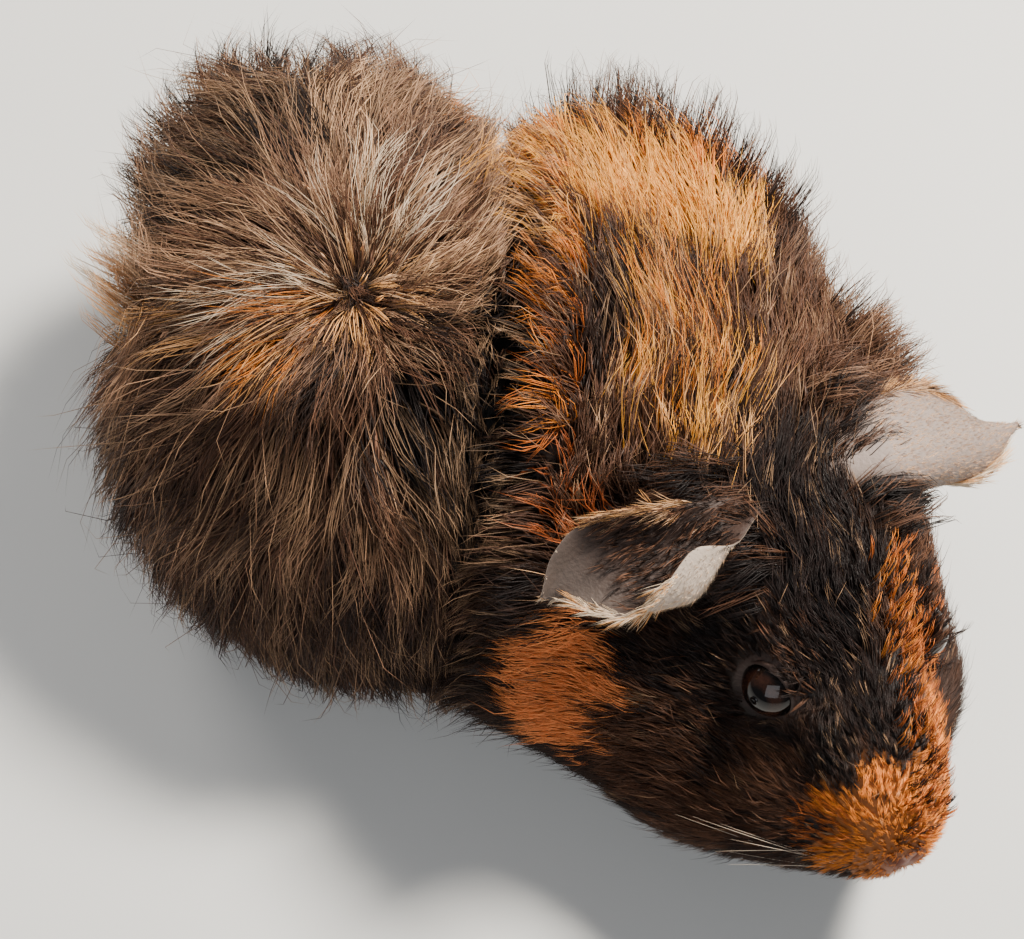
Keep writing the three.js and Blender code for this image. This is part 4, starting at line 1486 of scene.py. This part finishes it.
# %% Whiskers
def whisker_group(look):
    group = bpy.data.node_groups.new("whiskers", "GeometryNodeTree")
    group.interface.new_socket("Geometry", in_out="INPUT", socket_type="NodeSocketGeometry")
    group.interface.new_socket("Length", in_out="INPUT", socket_type="NodeSocketFloat")
    group.interface.new_socket("Thickness", in_out="INPUT", socket_type="NodeSocketFloat")
    group.interface.new_socket("Geometry", in_out="OUTPUT", socket_type="NodeSocketGeometry")

    def node(kind, settings=None, **inputs):
        made = group.nodes.new(kind)
        for key, value in (settings or {}).items():
            setattr(made, key, value)
        for key, value in inputs.items():
            socket = made.inputs[int(key[1:])] if key[1:].isdigit() else made.inputs[key.replace("_", " ")]
            if isinstance(value, bpy.types.NodeSocket):
                group.links.new(value, socket)
            else:
                socket.default_value = value
        return made

    entry = node("NodeGroupInput")
    bow = node("GeometryNodeCurveQuadraticBezier", Resolution=7, Start=(0, 0, 0), Middle=(0, 0, 0.55),
               End=(0.16, 0, 1))
    thin = node("ShaderNodeMath", {"operation": "SUBTRACT"}, i0=1.0,
                i1=node("GeometryNodeSplineParameter").outputs[0])
    radius = node("ShaderNodeMath", {"operation": "ADD"}, i0=thin.outputs[0], i1=0.12)
    ring = node("GeometryNodeCurvePrimitiveCircle", Resolution=4, Radius=entry.outputs["Thickness"])
    tube = node("GeometryNodeCurveToMesh", Curve=bow.outputs[0], Profile_Curve=ring.outputs[0],
                Scale=radius.outputs[0],
                Fill_Caps=True)
    way = node("GeometryNodeInputNamedAttribute", {"data_type": "FLOAT_VECTOR"}, Name="way")
    facing = node("FunctionNodeAlignRotationToVector", {"axis": "Z"}, Vector=way.outputs[0])
    own = node("FunctionNodeRandomValue", i2=0.55, i3=1.0, Seed=4)
    long = node("ShaderNodeMath", {"operation": "MULTIPLY"}, i0=own.outputs[1], i1=entry.outputs["Length"])
    size = node("ShaderNodeCombineXYZ", X=long.outputs[0], Y=1.0, Z=long.outputs[0])
    dots = node("GeometryNodeMeshToPoints", Mesh=entry.outputs["Geometry"])
    copies = node("GeometryNodeInstanceOnPoints", Points=dots.outputs[0], Instance=tube.outputs[0],
                  Rotation=facing.outputs[0], Scale=size.outputs[0])
    real = node("GeometryNodeRealizeInstances", i0=copies.outputs[0])
    dressed = node("GeometryNodeSetMaterial", Geometry=real.outputs[0], Material=look)
    node("NodeGroupOutput", i0=dressed.outputs[0])
    return group


def whisker_look(start):
    return {"Base Color": grain(start, 200).tinted((0.75, 0.62, 0.48, 1), (0.35, 0.25, 0.18, 1))}


WHISKERS_A_SIDE = 16
roots, ways = [], []
for out in (-1, 1):
    place = from_head(np.column_stack([rng.uniform(44, 51, WHISKERS_A_SIDE),
                                       out * rng.uniform(8, 11, WHISKERS_A_SIDE),
                                       rng.uniform(-45, -39, WHISKERS_A_SIDE)]))
    height, up = from_skin(place)
    roots.append(place - up * height[:, None])
    aim = from_head([-0.95, 0.62 * out, -0.1]) - from_head([0, 0, 0])
    ways.append(unit(aim + 0.2 * rng.normal(0, 1, (WHISKERS_A_SIDE, 3)) + 0.2 * up))
cloud = bpy.data.meshes.new("whisker roots")
cloud.from_pydata((np.concatenate(roots) * MM).tolist(), [], [])
way = cloud.attributes.new("way", "FLOAT_VECTOR", "POINT")
way.data.foreach_set("vector", np.concatenate(ways).ravel())
roots_piece = shown("whisker roots", cloud)
group = whisker_group(material("whisker", 0.35, whisker_look))
planting = roots_piece.modifiers.new("whiskers", "NODES")
planting.node_group = group
settings = {"Length": 28 * MM, "Thickness": 0.07 * MM}
for item in group.interface.items_tree:
    if item.name in settings and item.in_out == "INPUT":
        planting[item.identifier] = settings[item.name]
whisker_mesh = applied(roots_piece)
unwrapped(whisker_mesh)
bpy.data.objects.remove(roots_piece)
whiskers = shown("whiskers", whisker_mesh)
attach(whiskers, "root")
print("whisker triangles:", len(whisker_mesh.polygons), "box in mm:", points_of(whisker_mesh).min(0).round(1),
      points_of(whisker_mesh).max(0).round(1))

# %% [markdown]
# ## Floor, light and camera

# %% Floor, light and camera
def floor_look(start):
    tone = grain(start, 8).tinted((0.54, 0.53, 0.51, 1), (0.60, 0.59, 0.57, 1))
    return {"Base Color": tone, "Normal": bumped(start, grain(start, 60), 0.1, 0.001)}


WIDE = 1500
corners = np.array([[-WIDE, -WIDE, 0], [WIDE, -WIDE, 0], [WIDE, WIDE, 0], [-WIDE, WIDE, 0]], float)
floor = shown("floor", mesh_of("floor", corners, np.array([[0, 1, 2, 3]])))
floor.data.materials.append(material("floor", 0.7, floor_look))


def placed(data, target, azimuth, elevation, distance):
    """An object that looks at a target from a direction in degrees and a distance, all in mm."""
    piece = shown(data.name, data)
    a, e = math.radians(azimuth), math.radians(elevation)
    back = Vector((math.sin(a) * math.cos(e), -math.cos(a) * math.cos(e), math.sin(e)))
    piece.location = Vector(target) * MM + back * distance * MM
    piece.rotation_euler = back.to_track_quat("Z", "Y").to_euler()
    return piece


def softbox(name, energy, size, azimuth, elevation, distance, tint):
    lamp = bpy.data.lights.new(name, "AREA")
    lamp.shape = "SQUARE"
    lamp.size = size * MM
    lamp.energy = energy
    lamp.color = tint
    return placed(lamp, (0, -10, 40), azimuth, elevation, distance)


softbox("key", 23.5, 180, 150, 55, 800, (1.0, 0.95, 0.86))
softbox("fill", 4.2, 700, 20, 40, 900, (0.92, 0.96, 1.0))
softbox("rim", 3.5, 300, -110, 25, 800, (1.0, 0.97, 0.93))
world = bpy.data.worlds.new("studio")
world.use_nodes = True
world.node_tree.nodes["Background"].inputs["Color"].default_value = (0.62, 0.64, 0.68, 1)
world.node_tree.nodes["Background"].inputs["Strength"].default_value = 0.3
bpy.context.scene.world = world

CAMERA_TARGET = (0.82, -15.95, 45)
lens = bpy.data.cameras.new("camera")
lens.lens = 72
lens.sensor_width = 36
lens.clip_start = 0.01
bpy.context.scene.camera = placed(lens, CAMERA_TARGET, 28, 60, 380)
print("lamps:", sorted(lamp.name for lamp in bpy.data.lights))
